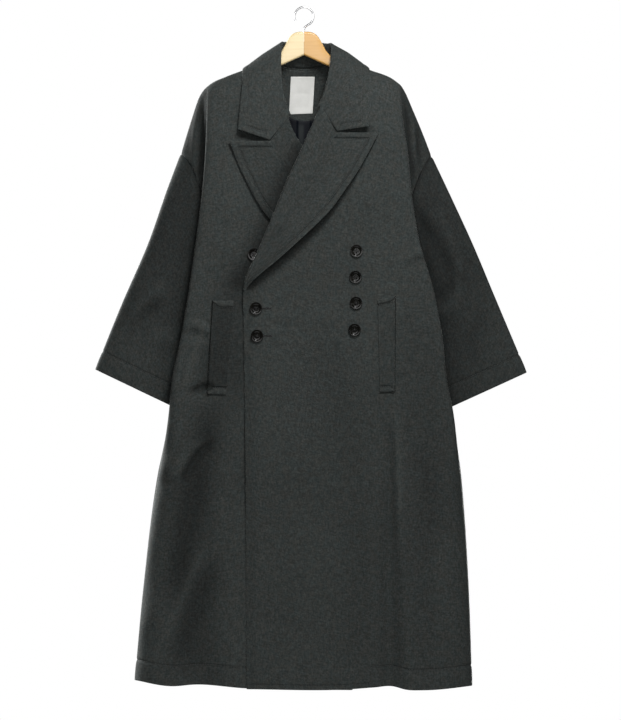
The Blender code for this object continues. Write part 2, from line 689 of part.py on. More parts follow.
def add_facing():
    depth = WALL + FACING_GAP + FACING_WALL
    rows = [[inside_point(x, neck_drop(x) + 3.0 + (facing_foot(x) - neck_drop(x) - 3.0) * t, depth)
             for x in INSIDE_COLUMNS] for t in (0.0, 0.12, 0.28, 0.5, 0.75, 1.0)]
    outer = np.array([[p for p, n in row] for row in rows])
    normals = np.array([[n for p, n in row] for row in rows])
    add_sheet("neck_facing", outer, normals, FACING_WALL, WOOL)


def add_lining():
    depth = WALL + FACING_GAP + LINING_WALL
    outer = []
    normals = []
    for t in (0.0, 0.12, 0.25, 0.4, 0.55, 0.7, 0.85, 1.0):
        made = []
        for top in INSIDE_COLUMNS:
            x = top if abs(top) < 20 else top * (1 + (LINING_FOOT_HALF / FACING_HALF - 1) * t)
            start = facing_foot(top) + SEAM_GAP + 0.2
            drop = start + (LINING_FOOT - start) * t
            made.append(inside_point(x, drop, depth + (PLEAT_LIFT if abs(top) <= PLEAT_HALF else 0.0)))
        outer.append([p for p, n in made])
        normals.append([n for p, n in made])
    add_sheet("lining", np.array(outer), np.array(normals), LINING_WALL, SATIN)


def add_label():
    depth = WALL + FACING_GAP + FACING_WALL + LAY_GAP + LABEL_THICK
    top_l, top_r, foot_l, foot_r = [np.array(c, float) for c in LABEL_CORNERS]
    outer = []
    normals = []
    for t in (0.0, 0.2, 0.4, 0.6, 0.8, 1.0):
        left = top_l + (foot_l - top_l) * t
        right = top_r + (foot_r - top_r) * t
        made = [inside_point(*(left + (right - left) * w), depth) for w in (0.0, 0.25, 0.5, 0.75, 1.0)]
        outer.append([p for p, n in made])
        normals.append([n for p, n in made])
    add_sheet("label", np.array(outer), np.array(normals), LABEL_THICK, WOVEN)


def add_loft(name, rings, look):
    size = len(rings[0])
    points = [np.array(p, float) for ring in rings for p in ring]
    faces = []
    for i in range(len(rings) - 1):
        for k in range(size):
            n = (k + 1) % size
            faces.append((i * size + k, i * size + n, (i + 1) * size + n, (i + 1) * size + k))
    faces.append(tuple(range(size)))
    faces.append(tuple(range((len(rings) - 1) * size, len(rings) * size)))
    add_body(name, points, faces, look)


def add_hanger_arm(name, side):
    stations = list(HANGER_HEAD)
    for x, tall in HANGER_ARM:
        top = shoulder_drop(side, x) + WALL + HANGER_SEAT
        stations.append((x, top, top + tall))
    rings = []
    for x, top, foot in stations:
        half = HANGER_HALF_THICK
        trim = min(HANGER_CORNER, (foot - top) * 0.3)
        ring = [(-half + trim, top), (half - trim, top), (half, top + trim), (half, foot - trim),
                (half - trim, foot), (-half + trim, foot), (-half, foot - trim), (-half, top + trim)]
        rings.append([(side * x, y, -drop) for y, drop in ring])
    add_loft(name, rings, WOOD)


def add_hook():
    reach = HOOK_RADIUS + HOOK_WIRE
    arc = [(reach * math.cos(a), HOOK_RADIUS - reach * math.sin(a))
           for a in np.radians(np.linspace(HOOK_START, HOOK_END, 16))]
    shank = [(0.0, HANGER_HEAD[0][1] - SEAM_GAP), (0.0, 44.0), (0.6, 40.5), (3.4, 37.0), (7.6, 34.2)]
    path = np.array([(x, 0.0, -drop) for x, drop in shank + arc])
    ways = unit(np.gradient(path, axis=0))
    ways[0] = (0.0, 0.0, 1.0)
    rings = []
    for spot, way in zip(path, ways):
        flat = np.cross(way, (0.0, 1.0, 0.0))
        rings.append([spot + HOOK_WIRE * (flat * math.cos(a) + np.array((0.0, 1.0, 0.0)) * math.sin(a))
                      for a in np.linspace(0, 2 * math.pi, HOOK_SEGMENTS, endpoint=False)])
    add_loft("hanger_hook", rings, STEEL)


WOOL = ((0.035, 0.039, 0.038), 0.95)
SATIN = ((0.006, 0.007, 0.012), 0.45)
WOVEN = ((0.62, 0.62, 0.59), 0.8)
HORN = ((0.012, 0.010, 0.009), 0.25)
WOOD = ((0.78, 0.58, 0.33), 0.5)
STEEL = ((0.62, 0.62, 0.63), 0.3, 1.0)

add_back()
add_front("front_left", 1)
add_front("front_right", -1)
add_lapel("lapel_left", 1)
add_lapel("lapel_right", -1)
add_collar()
add_sleeve("sleeve_left", 1)
add_sleeve("sleeve_right", -1)
for welt, (welt_side, *welt_corners) in WELTS.items():
    add_welt(welt, welt_side, welt_corners)
add_buttons()
add_facing()
add_lining()
add_label()
add_hanger_arm("hanger_arm_left", 1)
add_hanger_arm("hanger_arm_right", -1)
add_hook()
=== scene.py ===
import math
import bmesh
import bpy
import numpy as np
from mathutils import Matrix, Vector


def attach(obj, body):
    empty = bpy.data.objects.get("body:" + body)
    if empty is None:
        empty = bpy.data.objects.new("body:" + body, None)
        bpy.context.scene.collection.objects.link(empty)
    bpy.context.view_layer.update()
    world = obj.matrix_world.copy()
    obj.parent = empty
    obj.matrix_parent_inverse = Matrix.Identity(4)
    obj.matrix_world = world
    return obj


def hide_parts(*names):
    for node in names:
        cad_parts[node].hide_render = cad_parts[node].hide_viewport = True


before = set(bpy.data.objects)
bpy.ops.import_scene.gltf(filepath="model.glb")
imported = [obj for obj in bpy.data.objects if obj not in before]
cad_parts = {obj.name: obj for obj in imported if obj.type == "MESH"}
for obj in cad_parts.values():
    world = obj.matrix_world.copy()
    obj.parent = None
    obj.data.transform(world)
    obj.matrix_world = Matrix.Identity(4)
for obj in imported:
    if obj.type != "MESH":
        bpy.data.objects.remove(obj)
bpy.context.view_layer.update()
mm = 0.001  # every form below is in millimetres: x outward from the middle, drop down from the hook

coat = {
    "wall": 2.4, "layGap": 0.4, "seamGap": 0.3, "rimTurns": (50.0, 90.0, 130.0),  # steps of a rolled edge, degrees
    "neckHalf": 70.0, "neckDrop": 101.0, "backNeckDip": 21.0, "backNeckRound": 0.75, "shoulderRound": 140.0,
    "overlapLift": 8.5, "overlapEnd": (126.0, 205.0), "rollRadius": 3.4, "rollGap": 1.0,
    "armholeShare": 0.2, "armholeDepth": 36.0, "armholeBow": 0.64, "underarmRun": 60.0,
    "backFoldInset": 4.0, "backHem": 1350.0, "footDrop": 1365.0,
    "foldSharp": 2.0, "foldRise": 4.0, "creaseRun": 0.35, "creaseStart": 0.3,  # how folds and creases begin
    "seamDip": 1.1, "seamWide": 3.2,      # how the cloth sinks into a sewn seam
    "hemDeep": 40.0, "facingDeep": 8.0,   # stitch line above the hem, and across the front facing
}
# shade and shadeWide: painted shade along a stitch groove
stitch = {"lift": 0.15, "labelLift": 0.1, "puffHalf": 0.55, "grooveWide": 2.5, "shadeWide": 2.0, "shade": 0.3}

levelColumns = ("drop", "foldLeft", "foldRight", "insetLeft", "insetRight",
                "foldRun", "foldTurn", "valley", "frontDepth", "backDepth")
levels = (
    (100, 194.0, 193.5, 57, 61, 12, 7, 7, 50, 44),
    (210, 195.0, 196.0, 57, 61, 12, 7, 7, 53, 47),
    (286, 197.6, 207.0, 57, 61, 12, 7, 7, 56, 50),
    (378, 205.0, 216.0, 57, 61, 12, 7, 6, 57, 52),
    (464, 216.0, 230.0, 57, 61, 13, 7, 2, 59, 54),
    (563, 230.4, 258.5, 57, 63, 14, 7, 0, 61, 56),
    (652, 244.8, 276.0, 53, 56, 15, 8, 0, 63, 58),
    (758, 266.0, 288.0, 39, 38, 18, 9, 0, 65, 60),
    (800, 269.5, 297.0, 30, 31, 20, 12, 0, 66, 61),
    (897, 283.0, 309.0, 9, 9, 34, 24, 0, 69, 64),
    (960, 295.0, 316.0, 0, 0, 46, 38, 0, 71, 66),
    (1154, 320.4, 329.5, 0, 0, 66, 60, 0, 76, 71),
    (1365, 341.0, 337.0, 0, 0, 74, 68, 0, 82, 77),
)
shoulder = {  # shoulder seam from the neck to the sleeve seam, across and drop
    -1: ((70, 101), (122, 124), (156, 137), (190, 154), (204, 167), (213, 183), (224, 217), (248, 294)),
    1: ((70, 101), (130, 123), (186, 148), (197, 158), (206, 174), (216, 199), (244, 270), (257, 299)),
}
frontLine = {  # neck edge, roll line and front edge, drop and distance outward
    -1: ((101, 70), (130, 62), (170, 48), (205, 38.5), (222, 34), (241, 28.5), (260, 19.5), (290, 0), (328, -19.5),
         (420, -60), (484, -89), (545, -114), (575, -118), (800, -113), (1365, -96)),
    1: ((101, 70), (130, 62), (165, 48.5), (203, 36), (226, 27), (265, 9.5), (290, -1), (344, -26.5),
        (420, -57), (484, -84.5), (545, -112.5), (575, -120.5), (620, -120), (700, -119), (800, -117.5), (1365, -114)),
}
hemLine = {  # front hem drop by distance outward
    -1: ((-120, 1365), (118, 1361), (216, 1354), (268, 1357), (338, 1346)),
    1: ((-120, 1363), (94, 1363), (144, 1359), (173, 1357), (205, 1364), (240, 1365), (337, 1357)),
}
foldColumns = ("panel", "topX", "topDrop", "footX", "footDrop", "halfWidth", "topDepth", "footDepth")
folds = (  # drape folds of the skirt, depth inward
    ("over", 168, 740, 172, 1365, 26, 1.0, 17.0),
    ("over", 190, 760, 214, 1365, 30, -1.0, -9.0),
    ("over", 60, 900, 40, 1365, 90, 0.0, 4.0),
    ("under", 205, 900, 208, 1365, 46, 0.0, 15.0),
    ("under", 130, 950, 140, 1365, 40, 0.0, -4.0),
    ("back", -150, 700, -190, 1365, 60, 0.0, 14.0),
    ("back", -40, 620, -50, 1365, 70, 0.0, -6.0),
    ("back", 60, 700, 75, 1365, 55, 0.0, 12.0),
    ("back", 170, 760, 205, 1365, 60, 0.0, 15.0),
)
creaseColumns = ("panel", "x0", "drop0", "x1", "drop1", "bow", "half", "height")
creases = (  # soft ridges (+) and troughs (-) listed as straight lines with a bow
    ("under", 186, 868, 246, 960, 6, 7, -8.0),
    ("under", 203, 866, 262, 950, 8, 12, 7.0),
    ("under", 230, 634, 186, 648, -4, 7, 4.6),
    ("under", 234, 652, 192, 668, -4, 8, -4.4),
    ("under", 232, 771, 182, 757, 0, 8, -9.0),
    ("under", 192, 676, 208, 776, 0, 13, -7.0),
    ("under", 200, 636, 244, 770, 4, 10, 6.0),
    ("under", 206, 1080, 288, 1275, -6, 17, 9.0),
    ("under", 184, 1110, 258, 1335, 6, 24, -8.0),
    ("under", 282, 930, 298, 1350, 2, 22, 6.0),
    ("under", 120, 300, 160, 420, 10, 34, 2.0),
    ("under", 90, 820, 116, 1010, 8, 30, -2.2),
    ("over", 205, 508, 244, 484, 3, 8, 3.0),
    ("over", 210, 522, 248, 498, 3, 9, -2.6),
    ("over", 186, 731, 214, 728, 2, 6, 2.2),
    ("over", 184, 742, 210, 742, 2, 6, -1.8),
    ("over", 182, 800, 192, 1040, 4, 12, 3.2),
    ("over", -104, 1038, 168, 1046, 3, 5, -0.8),
    ("over", 20, 640, 60, 930, 14, 46, -2.4),
    ("over", 96, 230, 150, 400, -12, 34, 2.0),
    ("over", 228, 880, 262, 1090, 8, 26, -4.0),
    ("over", 270, 1000, 286, 1240, -6, 22, 3.6),
    ("under", 188, 800, 268, 1210, 4, 32, -11.0),
    ("over", 168, 800, 172, 1110, 0, 7, -2.6),
    ("over", 184, 790, 190, 1090, 0, 6, 3.2),
    ("napUnder", 132, 500, 140, 800, 0, 38, -10.0),  # these rows give painted shade alone, no change of form
    ("napUnder", 186, 790, 196, 900, 0, 30, -5.0),
    ("napUnder", 206, 870, 236, 1360, 14, 42, -6.0),
    ("napUnder", 226, 768, 184, 760, 0, 6, -7.0),
    ("napOver", 236, 520, 250, 1400, 0, 64, -4.5),
    ("napOver", 96, 760, 120, 1400, 0, 44, -4.0),
    ("notchUnder", 140, 257, 76, 267, 0, 7, -8.0),
    ("notchOver", 138, 246, 72, 251, 0, 7, -8.0),
    ("capOver", 205, 180, 222, 370, 1, 6, -6.0),
    ("capOver", 216, 200, 220, 312, 1, 4, 5.0),
    ("capOver", 227, 215, 234, 330, 1, 6, -4.5),
    ("capUnder", 203, 170, 214, 400, 1, 6, -5.0),
    ("capUnder", 216, 210, 220, 330, 2, 6, 2.4),
    ("back", -120, 260, -60, 420, 14, 40, 2.4),
    ("back", 96, 250, 140, 460, -12, 42, -2.6),
    ("back", -190, 660, -130, 716, 8, 13, 3.8),
    ("back", -196, 690, -140, 742, 8, 13, -3.2),
    ("back", 150, 640, 214, 600, 6, 12, 3.2),
    ("back", 20, 560, 36, 1240, 10, 28, 3.0),
    ("back", -96, 900, -120, 1330, -8, 24, -3.8),
    ("back", 120, 960, 150, 1335, 8, 22, 3.6),
)


def curve(table, at):  # cubic through the rows of a two-column table, level beyond its ends
    keys, values = (np.array(column, float) for column in zip(*table))
    slopes = np.gradient(values, keys)
    at = np.clip(at, keys[0], keys[-1])
    i = np.clip(np.searchsorted(keys, at, side="right") - 1, 0, len(keys) - 2)
    step = keys[i + 1] - keys[i]
    t = (at - keys[i]) / step
    near = values[i] * (1 + 2 * t) + slopes[i] * step * t
    far = values[i + 1] * (3 - 2 * t) + slopes[i + 1] * step * (t - 1)
    return near * (1 - t) ** 2 + far * t * t


def ease(t):
    t = np.clip(t, 0.0, 1.0)
    return t * t * (3 - 2 * t)


def bell(distance, wide):
    return np.exp(-(distance / wide) ** 2)


def unit(vectors):
    return vectors / np.maximum(np.linalg.norm(vectors, axis=-1, keepdims=True), 1e-9)


def level(column, drop):
    i = levelColumns.index(column)
    return curve([(row[0], row[i]) for row in levels], drop)


def sideWord(side):
    return "Left" if side < 0 else "Right"


def foldEdge(side, face, drop):
    return level("fold" + sideWord(side), drop) - (coat["backFoldInset"] if face > 0 else 0.0)


def panelEdge(side, face, drop):
    return foldEdge(side, face, drop) - level("foldRun", drop)


def frontEdge(side, share):
    foot = curve(hemLine[side], curve(frontLine[side], coat["footDrop"]))
    return curve(frontLine[side], coat["neckDrop"] + share * (foot - coat["neckDrop"]))


def shoulderDrop(side, x):
    return curve(shoulder[side], np.maximum(x, coat["neckHalf"]))


def neckLine(x):  # back neckline inside the neck points
    across = np.minimum(np.abs(x) / coat["neckHalf"], 1.0)
    return coat["neckDrop"] + coat["backNeckDip"] * (1.0 - across * across) ** coat["backNeckRound"]


def roundOver(below):
    rest = 1.0 - np.clip(below / coat["shoulderRound"], 0.0, 1.0)
    return np.sqrt(1.0 - rest * rest)


def foldDepth(panel, x, drop):
    total = 0.0
    for row in folds:
        f = dict(zip(foldColumns, row))
        if f["panel"] == panel:
            t = (drop - f["topDrop"]) / (f["footDrop"] - f["topDrop"])
            off = (x - f["topX"] - (f["footX"] - f["topX"]) * t) / f["halfWidth"]
            depth = f["topDepth"] + (f["footDepth"] - f["topDepth"]) * np.minimum(t, 1.0)
            shape = depth * np.exp(-off * off * coat["foldSharp"]) * ease(t * coat["foldRise"])
            total = total + np.where(t > 0, shape, 0.0)
    return total


def creaseHeight(panel, x, drop, table=creases):
    total = 0.0
    for row in table:
        c = dict(zip(creaseColumns, row))
        if c["panel"] == panel:
            wayX, wayD = c["x1"] - c["x0"], c["drop1"] - c["drop0"]
            size = math.hypot(wayX, wayD)
            t = ((x - c["x0"]) * wayX + (drop - c["drop0"]) * wayD) / size ** 2
            off = ((x - c["x0"]) * wayD - (drop - c["drop0"]) * wayX) / size
            off = off - c["bow"] * np.sin(math.pi * np.clip(t, 0, 1))
            run, start = coat["creaseRun"], coat["creaseStart"]
            ends = ease(t / run + start) * ease((1 - t) / run + start)
            total = total + c["height"] * bell(off, c["half"]) * ends
    return total


def panelDepth(side, face, x, drop):
    if face > 0:
        return level("backDepth", drop) - foldDepth("back", x * side, drop) + creaseHeight("back", x * side, drop)
    depth = level("frontDepth", drop)
    if side < 0:
        return depth - foldDepth("under", x, drop) + creaseHeight("under", x, drop)
    start, end = coat["overlapEnd"]
    lap = coat["overlapLift"] * (1.0 - ease((x - start) / (end - start)))
    return depth + lap - foldDepth("over", x, drop) + creaseHeight("over", x, drop)


def cloth(side, face, x, drop):  # depth of a panel's outer face, and how far below the shoulder seam
    topNear = coat["neckHalf"] if face < 0 else 0.0
    hem, neck = coat["backHem"], coat["neckDrop"]
    share = (drop - neck) / (hem - neck)
    for step in range(5):
        near = frontEdge(side, share) if face < 0 else 0.0
        part = np.clip((x - near) / (panelEdge(side, face, drop) - near), 0.0, 1.0)
        topDrop = shoulderDrop(side, topNear + part * (panelEdge(side, face, neck) - topNear))
        share = np.maximum((drop - topDrop) / (hem - topDrop), 0.0)
    return face * panelDepth(side, face, x, drop) * roundOver(drop - topDrop), drop - topDrop


def lifted(side, face, x, drop, lift):  # points off a panel's outer face, and the way out there
    x, drop, lift = np.broadcast_arrays(*(np.asarray(v, float) for v in (x, drop, lift)))
    y, below = cloth(side, face, x, drop)
    rest = 1.0 - np.clip(below / coat["shoulderRound"], 0.0, 1.0)
    out = np.sqrt(1.0 - rest * rest) / panelDepth(side, face, x, drop)
    normals = unit(np.stack([np.zeros_like(x), face * out, rest / coat["shoulderRound"]], axis=-1))
    return np.stack([side * x, y, -drop], axis=-1) + normals * lift[..., None], normals


def gridNormals(points, toward, wrap=False):
    if wrap:
        across = np.roll(points, -1, axis=1) - np.roll(points, 1, axis=1)
    else:
        across = np.gradient(points, axis=1)
    normals = unit(np.cross(across, np.gradient(points, axis=0)))
    (i, j), way = toward
    return normals if np.dot(normals[i, j], way) > 0 else -normals


def alongGrid(points, axis, fromEnd=False, wrap=False):  # distance over the cloth from one of its edges
    if wrap:
        points = np.concatenate([points, points[:, :1]], axis=1)
    steps = np.linalg.norm(np.diff(points, axis=axis), axis=-1)
    first = np.zeros_like(np.take(steps, [0], axis=axis))
    run = np.concatenate([first, np.cumsum(steps, axis=axis)], axis=axis)
    return np.take(run, [-1], axis=axis) - run if fromEnd else run


def seamSink(distance):
    return coat["seamDip"] * bell(distance, coat["seamWide"])


def stitchDip(distance, line, band, groove):  # sewn band by an edge: puffed between edge and stitch line
    puff = band * np.clip(1.0 - ((distance - line * 0.5) / (line * stitch["puffHalf"])) ** 2, 0.0, 1.0)
    return puff - groove * bell(distance - line, stitch["grooveWide"])


# painted shade along a stitch line's groove
def stitchShade(distance, line):
    return bell(distance - line, stitch["shadeWide"])


stitchLines = {"grey": [], "dark": [], "white": []}


def lineAt(outer, normals, distance, value, down=False, lift=stitch["lift"]):
    if down:  # where the distance is met, column by column, or else row by row
        outer, normals, distance = outer.transpose(1, 0, 2), normals.transpose(1, 0, 2), distance.T
    found = []
    for points, ways, run in zip(outer, normals, distance):
        order = np.argsort(run)
        if run.min() <= value <= run.max():
            spot, way = (np.array([np.interp(value, run[order], row[order, a]) for a in range(3)])
                         for row in (points, ways))
            found.append((spot + way * lift, way))
    return found


def sewGrey(*where):
    stitchLines["grey"].append(lineAt(*where))


pieceMade = {}


def makeShell(name, outer, normals, wall, rims=(1, 1, 1, 1), wrap=False, shade=0.0):
    # closed wall of cloth; rims are how round the top, right, foot and left edges are rolled
    rows, cols = outer.shape[:2]
    count = rows * cols
    index = np.arange(count).reshape(rows, cols)
    spanned = np.concatenate([index, index[:, :1]], axis=1) if wrap else index
    across = alongGrid(outer, 1, wrap=wrap) * mm
    down = alongGrid(outer, 0) * mm
    down = np.concatenate([down, down[:, :1]], axis=1) if wrap else down
    spread = np.stack([across - across[:, [across.shape[1] // 2]], -down], axis=-1).reshape(-1, 2)
    spreadIndex = np.arange(len(spread)).reshape(spanned.shape)

    def quadsOf(grid):
        return np.stack([grid[:-1, :-1], grid[:-1, 1:], grid[1:, 1:], grid[1:, :-1]], axis=-1).reshape(-1, 4)

    outs = np.zeros_like(outer)
    outs[0] += rims[0] * unit(outer[0] - outer[1])
    outs[-1] += rims[2] * unit(outer[-1] - outer[-2])
    if not wrap:
        outs[:, -1] += rims[1] * unit(outer[:, -1] - outer[:, -2])
        outs[:, 0] += rims[3] * unit(outer[:, 0] - outer[:, 1])
    outs /= np.maximum(np.linalg.norm(outs, axis=-1, keepdims=True), 1.0)
    if wrap:
        edges = [(spanned[0], spreadIndex[0]), (spanned[-1][::-1], spreadIndex[-1][::-1])]
    else:
        edges = [[np.concatenate([g[0], g[1:, -1], g[-1, -2::-1], g[-2::-1, 0]]) for g in (index, spreadIndex)]]
    flatOuter, flatNormals, flatOuts = (a.reshape(-1, 3) for a in (outer, normals, outs))
    points = [flatOuter, flatOuter - flatNormals * wall]
    quads = [quadsOf(spanned), quadsOf(spanned)[:, ::-1] + count]
    corners = [quadsOf(spreadIndex), quadsOf(spreadIndex)[:, ::-1]]
    total = 2 * count
    for edge, edgeSpread in edges:
        ring = edge[:-1]
        strips = [edge]
        for angle in np.radians(coat["rimTurns"]):
            shape = flatNormals[ring] * (math.cos(angle) - 1) + flatOuts[ring] * math.sin(angle)
            points.append(flatOuter[ring] + shape * wall / 2)
            numbers = total + np.arange(len(ring))
            strips.append(np.append(numbers, numbers[0]))
            total += len(ring)
        strips.append(edge + count)
        for a, b in zip(strips[:-1], strips[1:]):
            quads.append(np.stack([a[1:], a[:-1], b[:-1], b[1:]], axis=-1))
            corners.append(np.stack([edgeSpread[1:], edgeSpread[:-1], edgeSpread[:-1], edgeSpread[1:]], axis=-1))
    points, quads, corners = np.concatenate(points), np.concatenate(quads), np.concatenate(corners)
    probe = quads[len(quads) // 5]  # any face of the outer side, to tell an inside-out shell
    a, b, c = points[probe[:3]]
    if np.dot(np.cross(b - a, c - b), flatNormals[probe[0] % count]) < 0:
        quads, corners = quads[:, ::-1], corners[:, ::-1]
    mesh = bpy.data.meshes.new(name)
    mesh.from_pydata((points * mm).tolist(), [], quads.tolist())
    layer = mesh.uv_layers.new(name="cloth")
    layer.data.foreach_set("uv", spread[corners.reshape(-1)].ravel())
    # the 'sewn' point attribute carries the painted light and shade of the outer face; the inner face and rims get none
    depth = np.zeros(len(points))
    depth[:count] = (np.zeros((rows, cols)) + shade).ravel()
    mesh.attributes.new("sewn", "FLOAT", "POINT").data.foreach_set("value", depth)
    mesh.shade_smooth()
    return addPiece(name, mesh)


def addObject(name, data):
    made = bpy.data.objects.new(name, data)
    bpy.context.scene.collection.objects.link(made)
    return made


def addPiece(name, mesh):
    pieceMade[name] = addObject(name, mesh)
    return pieceMade[name]


def dress(piece, look, slot, *nodes):
    piece.data.materials.clear()
    piece.data.materials.append(look)
    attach(piece, "root")
    if nodes:
        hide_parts(*nodes)


# Finishes

def newFinish(name):
    made = bpy.data.materials.new(name)
    made.use_nodes = True
    return made, made.node_tree, made.node_tree.nodes["Principled BSDF"]


def feed(tree, node, inputs):  # links sockets and sets plain values
    for key, value in inputs.items():
        if hasattr(value, "is_linked"):
            tree.links.new(value, node.inputs[key])
        else:
            node.inputs[key].default_value = value


def addNode(tree, kind, inputs=None, **settings):
    node = tree.nodes.new(kind)
    for key, value in settings.items():
        setattr(node, key, value)
    feed(tree, node, inputs or {})
    return node


def objectSpot(tree, **mapping):
    spot = addNode(tree, "ShaderNodeTexCoord").outputs["Object"]
    return addNode(tree, "ShaderNodeMapping", {"Vector": spot, **mapping}).outputs["Vector"]


def clothSpot(tree, **mapping):  # the cloth's own map, flat and in metres
    spot = addNode(tree, "ShaderNodeUVMap", uv_map="cloth").outputs["UV"]
    return addNode(tree, "ShaderNodeMapping", {"Vector": spot, **mapping}).outputs["Vector"]


def noiseOn(tree, spot, scale, detail, rough):
    inputs = {"Vector": spot, "Scale": scale, "Detail": detail, "Roughness": rough}
    return addNode(tree, "ShaderNodeTexNoise", inputs).outputs["Fac"]


def objectNoise(tree, scale, detail, rough=0.6, stretch=(1, 1, 1)):
    return noiseOn(tree, objectSpot(tree, Scale=stretch), scale, detail, rough)


def clothNoise(tree, scale, detail, stretch):
    return noiseOn(tree, clothSpot(tree, Scale=stretch), scale, detail, 0.5)


def clothRibs(tree, period, turn):  # fine ribs of a weave, one in each period
    spot = clothSpot(tree, Rotation=(0, 0, math.radians(turn)))
    inputs = {"Vector": spot, "Scale": 2 * math.pi / (20.0 * period * mm), "Distortion": 1.2, "Detail": 1.0}
    return addNode(tree, "ShaderNodeTexWave", inputs).outputs["Fac"]


# the 'sewn' attribute holds painted shade and painted light for the wool, and a painted highlight for the lining's
# pleat
def paintedLightAndShade(tree):
    return addNode(tree, "ShaderNodeAttribute", attribute_name="sewn").outputs["Fac"]


def ramp(tree, factor, *stops):  # colours or greys at places along a factor
    node = addNode(tree, "ShaderNodeValToRGB", {"Fac": factor})
    bar = node.color_ramp
    while len(bar.elements) < len(stops):
        bar.elements.new(0.5)
    for element, (place, colour) in zip(bar.elements, stops):
        element.position = place
        element.color = (*colour, 1.0) if hasattr(colour, "__len__") else (colour, colour, colour, 1.0)
    return node.outputs["Color"]


def mixColours(tree, kind, factor, a, b):
    inputs = {key: (*value, 1.0) if isinstance(value, tuple) else value for key, value in ((0, factor), (6, a), (7, b))}
    return addNode(tree, "ShaderNodeMix", inputs, data_type="RGBA", blend_type=kind).outputs[2]


def multiply(tree, base, factor, *stops):
    return mixColours(tree, "MULTIPLY", 1.0, base, ramp(tree, factor, *stops))


def mathOf(tree, kind, a, b):
    return addNode(tree, "ShaderNodeMath", {0: a, 1: b}, operation=kind).outputs[0]


def bumpOf(tree, height, strength, distance):
    inputs = {"Height": height, "Strength": strength, "Distance": distance * mm}
    return addNode(tree, "ShaderNodeBump", inputs).outputs["Normal"]


woolLook = {
    "dark": (0.0235, 0.0270, 0.0255), "mid": (0.0309, 0.0350, 0.0333), "light": (0.0417, 0.0458, 0.0434),
    "warm": (1.05, 0.99, 0.97), "cool": (0.95, 1.0, 1.03),
    # the base colour's factor under full painted shade
    "fleck": (0.10, 0.11, 0.105), "fleckShare": 0.22, "fullShadeTone": 0.36,
    "plainShade": 0.18, "creaseShade": 0.042, "darkest": 0.85,  # painted shade in crease troughs and painted light on their ridges
    "heatherScale": 260.0, "fibreScale": 620.0, "hueScale": 95.0, "toneScale": 5.0, "slubScale": 330.0,
    "rib": 1.5, "ribTurn": 45.0, "ribShare": 0.35, "napBump": 0.45, "napDeep": 0.6,
    "shine": 0.08, "sheen": 0.45, "sheenRough": 0.16, "sheenTint": (0.88, 0.90, 0.88, 1.0),
}


def makeWool():
    made, tree, shader = newFinish("charcoalMelton")
    w = woolLook
    heather = objectNoise(tree, w["heatherScale"], 4.0, 0.65)
    fibres = clothNoise(tree, w["fibreScale"], 3.0, (1.0, 0.38, 1.0))
    slubs = mathOf(tree, "MULTIPLY", clothNoise(tree, w["slubScale"], 2.0, (1.0, 0.2, 1.0)),
                   clothNoise(tree, w["slubScale"], 2.0, (0.2, 1.0, 1.0)))  # uneven yarns down and across
    base = ramp(tree, heather, (0.36, w["dark"]), (0.5, w["mid"]), (0.66, w["light"]))
    base = mixColours(tree, "MIX", ramp(tree, fibres, (0.60, 0.0), (0.74, w["fleckShare"])), base, w["fleck"])
    base = multiply(tree, base, objectNoise(tree, w["toneScale"], 3.0), (0.3, 0.93), (0.7, 1.07))
    base = multiply(tree, base, objectNoise(tree, w["hueScale"], 3.0), (0.38, w["cool"]), (0.62, w["warm"]))
    base = multiply(tree, base, slubs, (0.17, 0.86), (0.33, 1.15))
    # the base colour is darkened by the painted shade in the 'sewn' attribute; spots with less than the plain amount
    # read as painted light
    base = multiply(tree, base, paintedLightAndShade(tree), (0.0, 1.0), (1.0, w["fullShadeTone"]))
    weave = mathOf(tree, "MULTIPLY", clothRibs(tree, w["rib"], w["ribTurn"]), w["ribShare"])
    nap = mathOf(tree, "ADD", mathOf(tree, "ADD", heather, fibres), weave)
    feed(tree, shader, {
        "Base Color": base, "Roughness": ramp(tree, heather, (0.3, 0.97), (0.7, 0.84)),
        "Normal": bumpOf(tree, nap, w["napBump"], w["napDeep"]), "Specular IOR Level": w["shine"],
        "Sheen Weight": w["sheen"], "Sheen Roughness": w["sheenRough"], "Sheen Tint": w["sheenTint"]})
    return made


satinLook = {
    # the pleat colour is a painted highlight, the satin's reflection along the lining's pleat
    "dark": (0.0012, 0.0015, 0.0020), "light": (0.0014, 0.0024, 0.0048), "pleat": (0.015, 0.018, 0.019),
    "rib": 0.5, "ribTurn": 63.0, "shine": 0.12,
}


def makeSatin():
    made, tree, shader = newFinish("navySatin")
    tone = objectNoise(tree, 14.0, 3.0, 0.6, (1, 1, 0.35))
    base = ramp(tree, tone, (0.35, satinLook["dark"]), (0.65, satinLook["light"]))
    # a painted highlight along the pleat
    feed(tree, shader, {
        "Base Color": mixColours(tree, "MIX", paintedLightAndShade(tree), base, satinLook["pleat"]),
        "Roughness": ramp(tree, tone, (0.3, 0.40), (0.7, 0.52)), "Specular IOR Level": satinLook["shine"],
        "Normal": bumpOf(tree, clothRibs(tree, satinLook["rib"], satinLook["ribTurn"]), 0.12, 0.1)})
    return made


labelLook = {"light": (0.63, 0.63, 0.605), "shade": (0.60, 0.60, 0.575), "rib": 0.9, "warp": 0.63, "sheen": 0.15}


def makeWoven():
    made, tree, shader = newFinish("whiteWovenLabel")
    ribs, warp = clothRibs(tree, labelLook["rib"], 90.0), clothRibs(tree, labelLook["warp"], 0.0)
    grey = ramp(tree, objectNoise(tree, 90.0, 3.0), (0.35, labelLook["shade"]), (0.6, labelLook["light"]))
    feed(tree, shader, {
        "Base Color": multiply(tree, grey, ribs, (0.0, 0.9), (0.6, 1.0)),
        "Roughness": ramp(tree, ribs, (0.2, 0.8), (0.8, 0.6)), "Sheen Weight": labelLook["sheen"],
        "Normal": bumpOf(tree, mathOf(tree, "ADD", ribs, warp), 0.35, 0.15)})
    return made


hornLook = {"dark": (0.0025, 0.0025, 0.0022), "streak": (0.006, 0.0055, 0.004), "scale": 120.0, "shine": 0.16}


